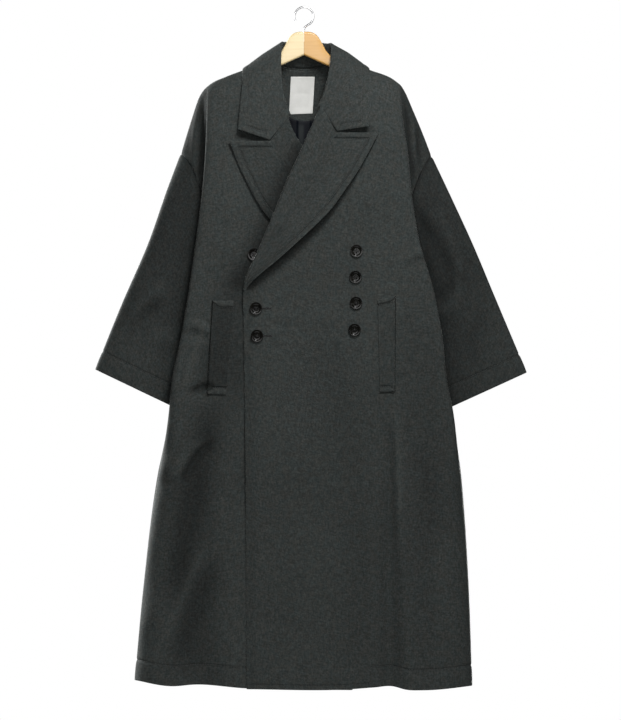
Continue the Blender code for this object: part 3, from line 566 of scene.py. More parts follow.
def makeHorn():
    made, tree, shader = newFinish("darkHorn")
    streaks = objectNoise(tree, hornLook["scale"], 5.0, 0.7, (1.0, 1.0, 0.4))
    feed(tree, shader, {
        "Base Color": ramp(tree, streaks, (0.42, hornLook["dark"]), (0.75, hornLook["streak"])),
        "Roughness": ramp(tree, objectNoise(tree, 900.0, 2.0), (0.3, 0.12), (0.8, 0.18)),
        "Specular IOR Level": hornLook["shine"]})
    return made


def makeThread(name, dark, light):
    made, tree, shader = newFinish(name)
    twist = objectNoise(tree, 1800.0, 2.0)
    feed(tree, shader, {
        "Base Color": ramp(tree, twist, (0.35, dark), (0.65, light)),
        "Roughness": ramp(tree, twist, (0.3, 0.6), (0.7, 0.78)), "Normal": bumpOf(tree, twist, 0.3, 0.1)})
    return made


# one beech finish in a lit and a shaded copy: painted light on the arm at minus x, painted shade on the arm at plus x
woodLook = {
    "litTones": ((0.60, 0.482, 0.275), (0.59, 0.47, 0.265)), "shadedTones": ((0.48, 0.268, 0.073), (0.47, 0.26, 0.069)),
    "pore": 0.95, "ringScale": 46.0, "ringTurn": 24.0, "poreScale": 260.0, "coat": 0.3, "coatRough": 0.2,
}


def makeWood(name, tones):
    made, tree, shader = newFinish(name)
    spot = objectSpot(tree, Rotation=(0, math.radians(woodLook["ringTurn"]), 0), Scale=(0.12, 1.0, 1.0))
    inputs = {"Vector": spot, "Scale": woodLook["ringScale"], "Distortion": 3.5, "Detail": 3.0, "Detail Scale": 1.2}
    rings = addNode(tree, "ShaderNodeTexWave", inputs, bands_direction="Z").outputs["Fac"]
    pores = objectNoise(tree, woodLook["poreScale"], 3.0, 0.6, (0.06, 1.0, 1.0))
    base = ramp(tree, rings, (0.1, tones[1]), (0.75, tones[0]))
    feed(tree, shader, {
        "Base Color": multiply(tree, base, pores, (0.34, woodLook["pore"]), (0.46, 1.0)),
        "Roughness": ramp(tree, pores, (0.3, 0.5), (0.6, 0.36)),
        "Normal": bumpOf(tree, mathOf(tree, "ADD", rings, pores), 0.08, 0.1),
        "Coat Weight": woodLook["coat"], "Coat Roughness": woodLook["coatRough"]})
    return made


def makeSteel():
    made, tree, shader = newFinish("platedWire")
    lines = objectNoise(tree, 300.0, 3.0, 0.6, (1.0, 6.0, 1.0))
    feed(tree, shader, {
        "Base Color": ramp(tree, lines, (0.3, (0.60, 0.60, 0.61)), (0.7, (0.72, 0.72, 0.73))),
        "Roughness": ramp(tree, lines, (0.3, 0.16), (0.7, 0.3)), "Metallic": 1.0})
    return made


wool, satin, woven, horn, steel = makeWool(), makeSatin(), makeWoven(), makeHorn(), makeSteel()
greyThread = makeThread("charcoalThread", (0.022, 0.025, 0.024), (0.045, 0.049, 0.048))
darkThread = makeThread("blackThread", (0.002, 0.002, 0.002), (0.006, 0.006, 0.006))
whiteThread = makeThread("whiteThread", (0.55, 0.55, 0.53), (0.72, 0.72, 0.7))
# a lit and a shaded copy of one beech
litWood, shadedWood = makeWood("litBeech", woodLook["litTones"]), makeWood("shadedBeech", woodLook["shadedTones"])
print("finishes made")

# Body panels

body = {
    "armholeRows": 64, "skirtRows": 205, "hemRows": 34, "hemStart": 0.9585,
    "frontColumns": 98, "backColumns": 50, "turnColumns": 9, "returnColumns": 14, "turnShare": 0.6, "dipLean": 0.75,
    "hemBand": 0.7, "hemGroove": 1.4, "facingReach": 134.0,
    "capShade": 0.35, "capShadeGain": 2.5, "capStart": 30.0, "capEnd": (640.0, 160.0),  # painted shade on the cloth behind the fold edge
    "edgePress": 4.5, "edgeWide": 20.0, "edgeFrom": (570.0, 60.0),  # upper front's edge lies on the lower front
    # foldShade and notchShade: painted shade in the drape folds and in the notch hollow
    "foldShade": {"over": 0.08, "under": 0.3, "back": 0.3}, "notchShade": 0.09,
    "lapelEdge": ((148, 252), (106, 329), (53, 404), (-14, 469), (-78, 524), (-118, 567)),
    "lapelShade": {-1: 0.7, 1: 0.55}, "lapelReach": {-1: 25.0, 1: 15.0},  # painted shade close under the upper lapel
    "rollLean": (0.9, 6.0), "rollSpan": (250, 580, 40.0), "longEdgeFrom": (330, 150.0),
}


# painted shade: darker in crease troughs, lighter on ridges
def paintedShade(height):
    return np.clip(woolLook["plainShade"] - woolLook["creaseShade"] * height, 0.0, woolLook["darkest"])


def lapelShade(side, x, drop):  # painted shade close beside the upper lapel's roll and below its long edge
    if side < 0:
        lean, clear = body["rollLean"]
        first, last, soft = body["rollSpan"]
        gap = np.maximum((x + curve(frontLine[1], drop)) * lean - clear, 0.0)
        fade = ease((drop - first) / soft) * ease((last - drop) / soft)
    else:
        edge = np.array(body["lapelEdge"], float)
        at = np.linspace(0, len(edge) - 1, 80)
        spots = zip(*(np.interp(at, np.arange(len(edge)), edge[:, a]) for a in (0, 1)))
        gap = np.sqrt(np.min([(x - spotX) ** 2 + (drop - spotDrop) ** 2 for spotX, spotDrop in spots], axis=0))
        first, soft = body["longEdgeFrom"]
        fade = ease((drop - first) / soft)
    return body["lapelShade"][side] * bell(gap, body["lapelReach"][side]) * fade


def underarmDrop(side):
    top = shoulder[side][-1][1]
    return top + coat["armholeShare"] * (hemLine[side][-1][1] - top)


sleeve = {
    "outer": {-1: ((294, 248), (363, 274), (471, 312), (592, 364.5), (724, 418)),
              1: ((299, 257), (386, 298), (472, 337.5), (578, 382), (730, 446))},
    "underarm": {-1: 165.0, 1: 180.0}, "innerCuff": {-1: (253, 800), 1: (280, 803)},
    "depth": ((0.0, 36.0), (0.08, 33.0), (0.26, 28.0), (0.6, 25.0), (1.0, 23.0)),
    "round": 0.85, "innerThin": ((0.0, 0.32), (0.1, 0.4), (0.3, 0.6), (1.0, 0.8)),
    "gap": 0.25, "clear": 6.0, "clearRun": 0.1, "bowRun": 0.35, "steps": 60,
    "tucks": ((3.2, 9.0), (1.7, 0.2)),  # seam allowance in the armhole, how deep and how far in
    "rows": ((0.0, 0.1, 16), (0.1, 0.885, 74), (0.885, 1.0, 38)),  # from, to, how many
    "cuffLine": 38.0, "cuffBand": 0.7, "cuffGroove": 1.2,
    "paintedShade": 0.29, "innerShade": {-1: 0.1, 1: 0.7},  # painted shade: the sleeve darker than the body, more so near the body
    # painted shade toward the top and painted light toward the cuff, a painted highlight along the outer edge, and
    # painted shade along the armhole seam
    "topShade": {-1: 0.2, 1: 0.3}, "cuffShade": {-1: -0.15, 1: 0.0}, "outerHighlight": {-1: 0.45, 1: 0.15},
    "innerSpan": (0.3, 0.7, 0.6), "topSpan": (0.95, 0.65), "cuffSpan": (0.6, 0.3), "highlightWide": 0.05,
    "seamShade": (0.3, 7.0),
    "creases": (  # panel, then place along and across the sleeve as shares, bow, half width, height
        ("frontRight", 48, 56, 76, 88, -3, 5, 6.0), ("frontRight", 56, 54, 82, 86, -3, 5, -5.0),
        ("frontRight", 66, 20, 76, 58, -3, 5, 4.0), ("frontRight", 8, 30, 30, 12, 3, 6, -3.5),
        ("frontLeft", 40, 24, 44, 62, 3, 4, -4.0), ("frontLeft", 46, 20, 51, 66, 3, 5, 4.5),
        ("frontLeft", 12, 60, 34, 30, 4, 6, -4.0), ("frontLeft", 16, 78, 46, 70, -4, 7, 4.0),
        ("frontLeft", 70, 84, 84, 40, 4, 6, -4.0), ("frontLeft", 0, 56, 45, 62, 0, 8, -5.0),
        ("backRight", 30, 30, 52, 70, 4, 6, 2.2), ("backRight", 60, 80, 78, 36, -4, 6, -1.8),
        ("backLeft", 26, 70, 50, 28, 4, 6, 2.2), ("backLeft", 58, 26, 70, 74, 4, 6, -1.8),
    ),
}


def sleeveSwing(angle, part):  # half depth round a sleeve, thin toward the inner edge near the armhole
    thin = curve(sleeve["innerThin"], part)
    return np.abs(np.sin(angle)) ** sleeve["round"] * (thin + (1 - thin) * (1 + np.cos(angle)) / 2)


def sideEnd(side, drop):  # armhole seam down to the underarm, then the side seam
    seamX, seamDrop = shoulder[side][-1]
    underX, underDrop = sleeve["underarm"][side], underarmDrop(side)
    part = np.clip((drop - seamDrop) / (underDrop - seamDrop), 0.0, 1.0)
    upperX = seamX + (underX - seamX) * part ** coat["armholeBow"]
    upperY = coat["armholeDepth"] * sleeveSwing(np.arccos(1 - 2 * part), 0.0)
    groove = foldEdge(side, -1, drop) - np.maximum(level("inset" + sideWord(side), drop), 0.0)
    lowerX = underX + (groove - underX) * ease((drop - underDrop) / coat["underarmRun"])
    above = drop <= underDrop + 1e-6
    half = coat["seamGap"] / 2
    return np.where(above, upperX, lowerX), np.where(above, np.maximum(upperY, half), half)


def sideColumns(side, face, share):  # fold edge and the cloth behind it, out to the side seam or armhole
    seamX, seamDrop = shoulder[side][-1]
    endHem = hemLine[side][-1][1]
    endX, endY = sideEnd(side, seamDrop + share * (endHem - seamDrop))
    topEdge, topRun = foldEdge(side, face, coat["neckDrop"]), level("foldRun", coat["neckDrop"])
    turns = [("turn", math.pi / 2 * k / body["turnColumns"]) for k in range(1, body["turnColumns"] + 1)]
    returns = [("return", k / body["returnColumns"]) for k in range(1, body["returnColumns"] + 1)]
    columns = []
    footEdge, footRun = foldEdge(side, face, coat["footDrop"]), level("foldRun", coat["footDrop"])
    for kind, value in turns + returns:
        hem = endHem
        if kind == "turn":
            topX = topEdge - topRun + topRun * math.sin(value)
            if face < 0:
                hem = curve(hemLine[side], footEdge - footRun + footRun * math.sin(value))
        else:
            topX = topEdge + (seamX - topEdge) * ease(value)
        topDrop = seamDrop if (kind, value) == returns[-1] else shoulderDrop(side, topX)
        drop = topDrop + share * (hem - topDrop)
        edge, run, rise = foldEdge(side, face, drop), level("foldRun", drop), roundOver(drop - topDrop)
        depth = panelDepth(side, face, edge - run, drop) * rise
        turn = np.minimum(level("foldTurn", drop) * rise, depth * body["turnShare"])
        if kind == "turn":
            x = edge - run + run * math.sin(value)
            y = depth - turn * (1 - math.cos(value))
        else:
            dip = level("valley", drop) * rise * math.sin(math.pi * value ** body["dipLean"])
            x = edge + (endX - edge) * ease(value) - np.maximum(dip, 0.0)
            y = (depth - turn) + (endY - (depth - turn)) * value
        columns.append(np.stack([side * x, face * np.maximum(y, coat["seamGap"] / 2), -drop], axis=-1))
    return np.stack(columns, axis=1)


def rowShares():
    arm = coat["armholeShare"]
    turns = math.pi * np.arange(body["armholeRows"] + 1) / body["armholeRows"]
    skirt = np.linspace(arm, body["hemStart"], body["skirtRows"] + 1)[1:]
    hem = np.linspace(body["hemStart"], 1.0, body["hemRows"] + 1)[1:]
    return np.concatenate([arm * (1 - np.cos(turns)) / 2, skirt, hem])


def frontGrid(side):
    share = rowShares()[:, None]
    part = np.linspace(0.0, 1.0, body["frontColumns"])[None, :]
    neckHalf, foot = coat["neckHalf"], coat["footDrop"]
    topX = neckHalf + part * (panelEdge(side, -1, coat["neckDrop"]) - neckHalf)
    footNear = curve(frontLine[side], foot)
    footX = footNear + part * (panelEdge(side, -1, foot) - footNear)
    topDrop = shoulderDrop(side, topX)
    drop = topDrop + share * (curve(hemLine[side], footX) - topDrop)
    near = frontEdge(side, share)
    x = near + part * (panelEdge(side, -1, drop) - near)
    y = np.minimum(-panelDepth(side, -1, x, drop) * roundOver(drop - topDrop), -coat["seamGap"] / 2)
    return np.concatenate([np.stack([side * x, y, -drop], axis=-1), sideColumns(side, -1, share[:, 0])], axis=1)


def backHalf(side):
    share = rowShares()[:, None]
    topEdge = panelEdge(side, 1, coat["neckDrop"])
    topX = np.linspace(0.0, topEdge, body["backColumns"])[None, 1:]
    part = topX / topEdge
    foot = coat["backHem"] + (hemLine[side][-1][1] - coat["backHem"]) * part ** 3
    topDrop = shoulderDrop(side, topX)
    start = np.where(topX >= coat["neckHalf"], topDrop, neckLine(topX))
    drop = start + share * (foot - start)
    x = part * panelEdge(side, 1, drop)
    y = np.maximum(panelDepth(side, 1, x, drop) * roundOver(drop - topDrop), coat["seamGap"] / 2)
    return np.concatenate([np.stack([side * x, y, -drop], axis=-1), sideColumns(side, 1, share[:, 0])], axis=1)


def levelSeams(normals, columns):  # cut edges stand square to the shoulder and side seams
    normals = normals.copy()
    normals[0, :, 1] = 0.0
    for j in columns:
        normals[body["armholeRows"]:, j, 1] = 0.0
    return unit(normals)


def hemDips(fromHem, deep):  # turned hem: a fuller band under its stitch line
    return stitchDip(fromHem, deep, body["hemBand"], body["hemGroove"])


# crease height less a share of fold depth, used only for painted shade in the folds
def drapeHeight(panel, across, down):
    return creaseHeight(panel, across, down) - body["foldShade"][panel] * foldDepth(panel, across, down)


def makeFront(name, node, side):
    outer = frontGrid(side)
    probe = ((120, 20), (0, -1, 0))  # a spot of the grid and the way its cloth faces
    normals = gridNormals(outer, probe)
    fromTop, fromHem = alongGrid(outer, 0), alongGrid(outer, 0, fromEnd=True)
    across, down = side * outer[..., 0], -outer[..., 2]
    word = "Over" if side > 0 else "Under"
    reach = side * outer[-1, :, 0]
    facing = (reach < body["facingReach"]) if side > 0 else np.zeros_like(reach, bool)
    deep = np.where(facing, coat["facingDeep"], coat["hemDeep"])[None, :]
    behind = np.arange(outer.shape[1]) >= body["frontColumns"] + body["turnColumns"]
    inner = np.sin(math.pi * np.linspace(0, 1, body["returnColumns"])) ** 0.5  # none at fold edge and seam
    caps = np.concatenate([np.zeros(outer.shape[1] - len(inner)), inner])
    capped = caps * creaseHeight("cap" + word, across, down) * ease(fromTop / body["capStart"])
    notch = creaseHeight("notch" + word, across, down)  # hollow under the notch, where collar and lapel stand off, also darkened with painted shade
    dips = -seamSink(alongGrid(outer, 1, fromEnd=True)) - seamSink(fromTop) + hemDips(fromHem, deep) + (capped + notch)
    if side > 0:
        first, soft = body["edgeFrom"]
        dips -= body["edgePress"] * ease(1 - alongGrid(outer, 1) / body["edgeWide"]) * ease((down - first) / soft)
    # painted shade from the drape folds and creases and from the shade rows, stronger from the creases behind the fold
    # edge
    high = drapeHeight(word.lower(), across, down) + creaseHeight("nap" + word, across, down)
    shade = paintedShade(np.where(behind, body["capShadeGain"] * capped, high)) + lapelShade(side, across, down)
    # painted shade in the notch hollow and in the hem's stitch groove
    shade = shade - notch * body["notchShade"] + stitchShade(fromHem, deep) * stitch["shade"]
    # painted shade over the cloth behind the fold edge, fading out down the skirt
    last, soft = body["capEnd"]
    shade = shade + behind * body["capShade"] * ease((last - down) / soft)
    outer = outer + levelSeams(normals, (-1,)) * dips[..., None]
    normals = gridNormals(outer, probe)
    piece = makeShell(name, outer, levelSeams(normals, (-1,)), coat["wall"], rims=(0.1, 0.1, 1, 1), shade=shade)
    dress(piece, wool, "wool", node)
    fromHem = alongGrid(outer, 0, fromEnd=True)
    for shown, line in ((facing, coat["facingDeep"]), (~facing, coat["hemDeep"])):
        if shown.any():
            sewGrey(outer[:, shown], normals[:, shown], fromHem[:, shown], line, True)


def makeBack():
    left, right = backHalf(-1), backHalf(1)
    drop = neckLine(0.0) + rowShares() * (coat["backHem"] - neckLine(0.0))
    y = panelDepth(1, 1, np.zeros_like(drop), drop) * roundOver(drop - coat["neckDrop"])
    middle = np.stack([np.zeros_like(drop), y, -drop], axis=-1)[:, None]
    outer = np.concatenate([left[:, ::-1], middle, right], axis=1)
    probe = ((120, left.shape[1]), (0, 1, 0))
    normals = gridNormals(outer, probe)
    fromHem = alongGrid(outer, 0, fromEnd=True)
    dips = hemDips(fromHem, coat["hemDeep"])
    for fromEnd in (False, True):
        dips -= seamSink(alongGrid(outer, 1, fromEnd=fromEnd))
    seamed = np.abs(outer[0, :, 0]) >= coat["neckHalf"]
    dips -= seamSink(alongGrid(outer, 0)) * seamed[None, :]
    # painted shade in the hem's stitch groove, the folds and the creases
    shade = stitchShade(fromHem, coat["hemDeep"]) * stitch["shade"]
    shade = shade + paintedShade(drapeHeight("back", outer[..., 0], -outer[..., 2]))
    outer = outer + levelSeams(normals, (0, -1)) * dips[..., None]
    normals = gridNormals(outer, probe)
    edges = levelSeams(normals, (0, -1))
    edges[0, ~seamed] = normals[0, ~seamed]
    piece = makeShell("back", outer, edges, coat["wall"], rims=(0.1, 0.1, 1, 0.1), shade=shade)
    dress(piece, wool, "wool", "back")
    fromHem = alongGrid(outer, 0, fromEnd=True)
    sewGrey(outer, normals, fromHem, coat["hemDeep"], True)


makeBack()
makeFront("frontOver", "front_left", 1)
makeFront("frontUnder", "front_right", -1)
print("body panels made")


def makeSleeve(name, node, side):
    s = sleeve
    seamX, seamDrop = shoulder[side][-1]
    under = np.array((s["underarm"][side], underarmDrop(side)))
    cuff = np.array(s["innerCuff"][side], float)
    along = unit(under - np.array((seamX, seamDrop)))
    away = np.array((along[1], -along[0]))
    cuffDrop = s["outer"][side][-1][0]
    part = np.concatenate([np.linspace(a, b, n, endpoint=b == 1.0) for a, b, n in s["rows"]])[:, None]
    drop = seamDrop + part * (cuffDrop - seamDrop)
    top = np.stack([curve(s["outer"][side], drop), drop], axis=-1)
    low = under + (cuff - under) * part[..., None]
    low[..., 0] += s["clear"] * ease(part / s["clearRun"])
    bow = coat["armholeBow"] + (1 - coat["armholeBow"]) * ease(part / s["bowRun"])
    angle = (math.pi * np.arange(2 * s["steps"]) / s["steps"])[None, :]
    inward = (1 - np.cos(angle)) / 2
    flat = top + (low - top) * np.stack([inward ** bow, inward + 0 * bow], axis=-1) + away * s["gap"]
    swing = np.sign(np.sin(angle)) * sleeveSwing(angle, part)
    outer = np.stack([side * flat[..., 0], -swing * curve(s["depth"], part), -flat[..., 1]], axis=-1)
    probe = ((50, s["steps"] // 2), (0, -1, 0))
    normals = gridNormals(outer, probe, wrap=True)
    word = "Left" if side > 0 else "Right"
    front, rear = (creaseHeight(face + word, part * 100, (1 - inward) * 100, s["creases"])
                   for face in ("front", "back"))
    relief = np.where(np.sin(angle) > 0, front, rear) * np.abs(np.sin(angle)) ** 0.5
    # painted shade in crease troughs, painted light on ridges, plus the sleeve's overall painted shade
    shade = paintedShade(relief) + s["paintedShade"]
    fromCuff = alongGrid(outer, 0, fromEnd=True)
    relief = relief - seamSink(alongGrid(outer, 0))
    relief = relief + stitchDip(fromCuff, s["cuffLine"], s["cuffBand"], s["cuffGroove"])
    outer = outer + normals * relief[..., None]
    normals = gridNormals(outer, probe, wrap=True)
    into = unit(outer[0] - outer[2])
    tucked = [outer[0] - normals[0] * deep + into * reach for deep, reach in s["tucks"]]
    # painted shade near the body and toward the top, painted light toward one cuff, a painted highlight at the outer
    # edge
    start, run, fade = s["innerSpan"]
    shade = shade + s["innerShade"][side] * ease((inward - start) / run) * (1 - fade * part)
    end, run = s["topSpan"]
    shade = shade + s["topShade"][side] * ease((end - part) / run)
    start, run = s["cuffSpan"]
    shade = shade + s["cuffShade"][side] * ease((part - start) / run)
    shade = np.maximum(shade - s["outerHighlight"][side] * bell(inward, s["highlightWide"]), 0.0)
    # painted shade in the cuff's stitch groove and along the armhole seam
    dark, wide = s["seamShade"]
    shade = shade + stitchShade(fromCuff, s["cuffLine"]) * stitch["shade"]
    shade = shade + dark * bell(alongGrid(outer, 0), wide)
    # the two tucked rows under the armhole's edge are painted at full shade
    shade = np.concatenate([np.ones_like(fromCuff[:2]), shade])
    piece = makeShell(name, np.concatenate([tucked, outer]), np.concatenate([normals[:1], normals[:1], normals]),
                      coat["wall"], rims=(0.1, 0, 1, 0), wrap=True, shade=shade)
    dress(piece, wool, "wool", node)
    ring = lineAt(outer, normals, fromCuff, s["cuffLine"], True)
    stitchLines["grey"].append(ring + ring[:1])


makeSleeve("sleeveLeft", "sleeve_left", 1)
makeSleeve("sleeveRight", "sleeve_right", -1)
print("sleeves made")

# Lapels and collar

lapel = {
    "rows": {-1: ((223, 149, 268), (245, 138, 296), (270, 128, 321), (300, 113.5, 350), (335, 95.5, 385),
                  (370, 74, 417), (405, 44, 446), (445, 5, 477), (484, -35, 507), (515, -69, 529),
                  (535, -94, 543), (547, -108, 553)),
             1: ((203, 148, 252), (224, 139, 271), (245, 128, 291), (285, 106, 329), (325, 80, 367),
                 (365, 53, 404), (405, 21, 437), (445, -14, 469), (484, -50, 501), (515, -78, 524),
                 (535, -96, 539), (547, -107, 550), (557, -114.5, 560), (565, -118, 568))},
    "gorge": {-1: (67.0, 268.0), 1: (65.0, 251.0)}, "gorgeShare": 0.36,
    "gorgeFade": ((0, 1.0), (1, 0.5), (2, 0.25), (3, 0.1), (4, 0.0), (14, 0.0)),
    "lift": {-1: 3.2, 1: 3.8}, "rollLift": {-1: 0.0, 1: 9.0}, "rollRadius": {-1: 3.6, 1: 5.5},
    "softAt": 0.2, "softWide": 0.16, "fullSize": 60.0, "reliefSize": (20.0, 50.0),
    "stand": {-1: 4.0, 1: 23.0}, "topStand": 4.5,  # how far the long edge and the top stand off the front
    "topEnd": 1.2, "standBow": 1.2, "standEnd": 3.0,
    "topRows": 26, "longRows": 120, "fineColumns": 84, "turnSteps": 12, "bridge": 4, "smoothing": 3,
    "faceFrom": 0.12, "wayAt": 0.24, "steadyFrom": 10.0, "seamShare": 0.27, "sewnShare": 0.86, "endSkip": 8,
    "footFrom": 10.5, "footSize": 0.4,  # where the roll runs out into the front edge, and what is left of it
    # the lapels' painted shade, deeper on the under lapel that lies in the upper lapel's shade
    "line": 13.0, "band": 1.2, "groove": 1.7, "paintedShade": {-1: 0.32, 1: 0.19},
}


def makeLapel(name, node, side):
    p = lapel
    table = p["rows"][side]
    last = len(table) - 1
    at = np.concatenate([np.linspace(0, p["topEnd"], p["topRows"], endpoint=False),
                         np.linspace(p["topEnd"], last, p["longRows"])])
    drop, outX, outDrop = (curve([(i, row[c]) for i, row in enumerate(table)], at) for c in range(3))
    near = np.stack([curve(frontLine[side], drop), drop], axis=-1)
    far = np.stack([outX, outDrop], axis=-1)
    size = np.linalg.norm(far - near, axis=-1)
    bend = np.array(p["gorge"][side]) - (near[0] + (far[0] - near[0]) * p["gorgeShare"])
    fade = curve(p["gorgeFade"], at)
    small = 1 - (1 - p["footSize"]) * ease((at - p["footFrom"]) / (last - p["footFrom"]))
    stand = p["stand"][side] * np.sin(math.pi * (at / last) ** p["standBow"]) * ease((last - at) / p["standEnd"])
    stand = stand + p["topStand"] * bell(at, p["topEnd"])

    def flatAt(w):
        hat = np.where(w < p["gorgeShare"], w / p["gorgeShare"], (1 - w) / (1 - p["gorgeShare"]))
        spot = near[:, None] + (far - near)[:, None] * w[..., None] + bend * (fade[:, None] * hat)[..., None]
        soft = p["rollLift"][side] * bell(w - p["softAt"], p["softWide"])
        soft = soft * np.minimum(size / p["fullSize"], 1.0)[:, None]
        lift = (p["lift"][side] + soft) * small[:, None] + stand[:, None] * w ** 2
        return lifted(side, -1, spot[..., 0], spot[..., 1], lift)[0]

    w = np.broadcast_to(np.linspace(p["faceFrom"], 1.0, p["fineColumns"])[None, :], (len(at), p["fineColumns"]))
    flat = flatAt(w)
    root, normal = lifted(side, -1, near[:, 0], near[:, 1], 0.0)
    way = flatAt(np.full((len(at), 1), p["wayAt"]))[:, 0] - root
    steady = np.searchsorted(at, p["steadyFrom"])
    way[steady:] = way[steady]
    way = unit(way - normal * np.sum(way * normal, axis=-1, keepdims=True))
    radius = p["rollRadius"][side] * small[:, None]
    centre = root + normal * (radius - coat["wall"]) - way * coat["rollGap"]
    angles = np.linspace(0.0, math.pi, p["turnSteps"] + 1)[None, :, None]
    turn = -(way[:, None] * np.sin(angles) + normal[:, None] * np.cos(angles))
    rolled = centre[:, None] + radius[..., None] * turn
    t = (np.arange(1, p["bridge"] + 1) / (p["bridge"] + 1))[None, :, None]
    bridge = rolled[:, -1:] + (flat[:, :1] - rolled[:, -1:]) * t
    outer = np.concatenate([rolled, bridge, flat], axis=1)
    start = p["turnSteps"] + 1
    for again in range(p["smoothing"]):  # soften the join of roll and face
        inside = outer[:, start - 1:start + p["bridge"] + 6]
        inside[:, 1:-1] = (inside[:, :-2] + 2 * inside[:, 1:-1] + inside[:, 2:]) / 4
    probe = ((30, 40), (0, -1, 0))
    normals = gridNormals(outer, probe)
    normals[:, :start - 1] = turn[:, :-1]
    fromEdge, fromTop = alongGrid(outer, 1, fromEnd=True), alongGrid(outer, 0)
    column = np.arange(outer.shape[1])
    freeFrom = start + p["bridge"] + int(p["seamShare"] * p["fineColumns"])
    free = ease((column - freeFrom + 2) / 6.0)[None, :]
    nearest = np.where(free > 0.5, np.minimum(fromEdge, fromTop), fromEdge)
    onFace = (column >= start)[None, :]
    least, run = p["reliefSize"]
    relief = stitchDip(nearest, p["line"], p["band"], p["groove"]) * onFace * ease((size - least) / run)[:, None]
    relief -= seamSink(fromTop) * (1 - free)
    shown = np.clip(size / p["fullSize"] - 0.25, 0, 0.4)[:, None]
    # painted shade in the stitch groove and over the lapel's face
    shade = stitchShade(nearest, p["line"]) * onFace * shown + p["paintedShade"][side]
    # painted shade on the under lapel beside the upper lapel's roll
    if side < 0:
        shade = shade + lapelShade(side, -outer[..., 0], -outer[..., 2])
    outer = outer + normals * relief[..., None]
    normals[:, start:] = gridNormals(outer, probe)[:, start:]
    piece = makeShell(name, outer, normals, coat["wall"], rims=(0.7, 1, 1, 0.2), shade=shade)
    dress(piece, wool, "wool", node)
    sewn = slice(0, int(len(at) * p["sewnShare"]))
    row = lineAt(outer[sewn], normals[sewn], fromEdge[sewn], p["line"])
    below = alongGrid(outer, 0)[sewn, -p["endSkip"]]
    stitchLines["grey"].append([spot for spot, deep in zip(row, below) if deep > p["line"]])
    top = slice(freeFrom + 1, outer.shape[1] - p["endSkip"])
    sewGrey(outer[:, top], normals[:, top], fromTop[:, top], p["line"], True)


makeLapel("lapelLeft", "lapel_left", 1)
makeLapel("lapelRight", "lapel_right", -1)
print("lapels made")

collarColumns = ("face", "seamX", "seamDrop", "foldX", "foldY", "foldDrop",
                 "midX", "midDrop", "midLift", "edgeX", "edgeDrop")
collarRows = {
    -1: (
        (-1, 33, 212, 25.5, None, 217, 68.5, 265, 6.0, 131, 245),
        (-1, 45, 179, 38.5, None, 182, 76, 217, 5.4, 129, 216),
        (-1, 58, 142, 44.0, None, 140, 82, 168, 6.0, 126, 182),
        (-1, 66, 115, 46.0, -25.0, 100, 84, 130, 8.0, 123, 150),
        (-1, 70, 101, 43.0, 0.0, 71, 84, 106, 13.0, 122, 124),
        (1, 62, None, 38.0, 11.0, 68, 72, 108, 10.0, 108, 142),
        (1, 35, None, 22.0, 18.0, 67, 40, 113, 11.0, 62, 156),
    ),
    1: (
        (-1, 35, 193, 28.0, None, 197, 66.5, 247.5, 6.0, 128, 239),
        (-1, 46, 169, 39.0, None, 170, 74, 206, 5.4, 128.5, 211),
        (-1, 58, 142, 47.0, None, 141, 82, 165, 6.0, 128, 180),
        (-1, 66, 115, 53.0, -25.0, 104, 87, 131, 8.0, 128.5, 150),
        (-1, 70, 101, 54.0, 0.0, 73, 90, 106, 16.0, 130, 123),
        (1, 62, None, 45.0, 11.0, 71, 74, 110, 10.0, 112, 142),
        (1, 35, None, 25.0, 18.0, 68, 41, 113, 11.0, 63, 156),
    ),
}
collarBack = (1, 0, None, 0.0, 20.0, 67, 0, 114, 11.0, 0, 160)
collar = {
    "rows": 151, "edgeLift": 3.2, "endLift": {-1: (6.5, 4.5, 3.5, 2.5, 0, 0, 0), 1: (6.5, 2.5, 0.0, 0.0, 0, 0, 0)},
    "seamGap": 2.6, "standSteps": 8, "turnSteps": 12, "fallSteps": 64, "smoothing": 44, "stiffRows": 22.0,
    "line": 13.0, "band": 1.1, "groove": 1.6, "longEdge": 0.3, "edgeShade": 0.15, "endShade": 0.5,
    "faceSkip": 3, "endSkip": 4, "edgeSkip": 6,  # grid rows left unsewn by the roll, the ends and the edge
}


def collarPoints(side, row, extra=0.0):
    c = dict(zip(collarColumns, row))
    foldY = c["foldY"]
    if c["face"] < 0:
        seam = lifted(side, -1, c["seamX"], c["seamDrop"], -coat["wall"] / 2)[0]
        if foldY is None:
            foldY = cloth(side, -1, np.array(c["foldX"]), np.array(c["foldDrop"]))[0]
            foldY = foldY - (coat["rollRadius"] - coat["wall"])
    else:
        drop = neckLine(c["seamX"])
        y = panelDepth(side, 1, c["seamX"], drop) * roundOver(drop - coat["neckDrop"])
        seam = np.array((side * c["seamX"], y - coat["wall"] / 2, -drop))
    fold = np.array((side * c["foldX"], float(foldY), -c["foldDrop"]))
    seam = seam + unit(fold - seam) * collar["seamGap"]
    mid = lifted(side, c["face"], c["midX"], c["midDrop"], c["midLift"])[0]
    edge = lifted(side, c["face"], c["edgeX"], c["edgeDrop"], collar["edgeLift"] + extra)[0]
    return np.array((seam, fold, mid, edge))


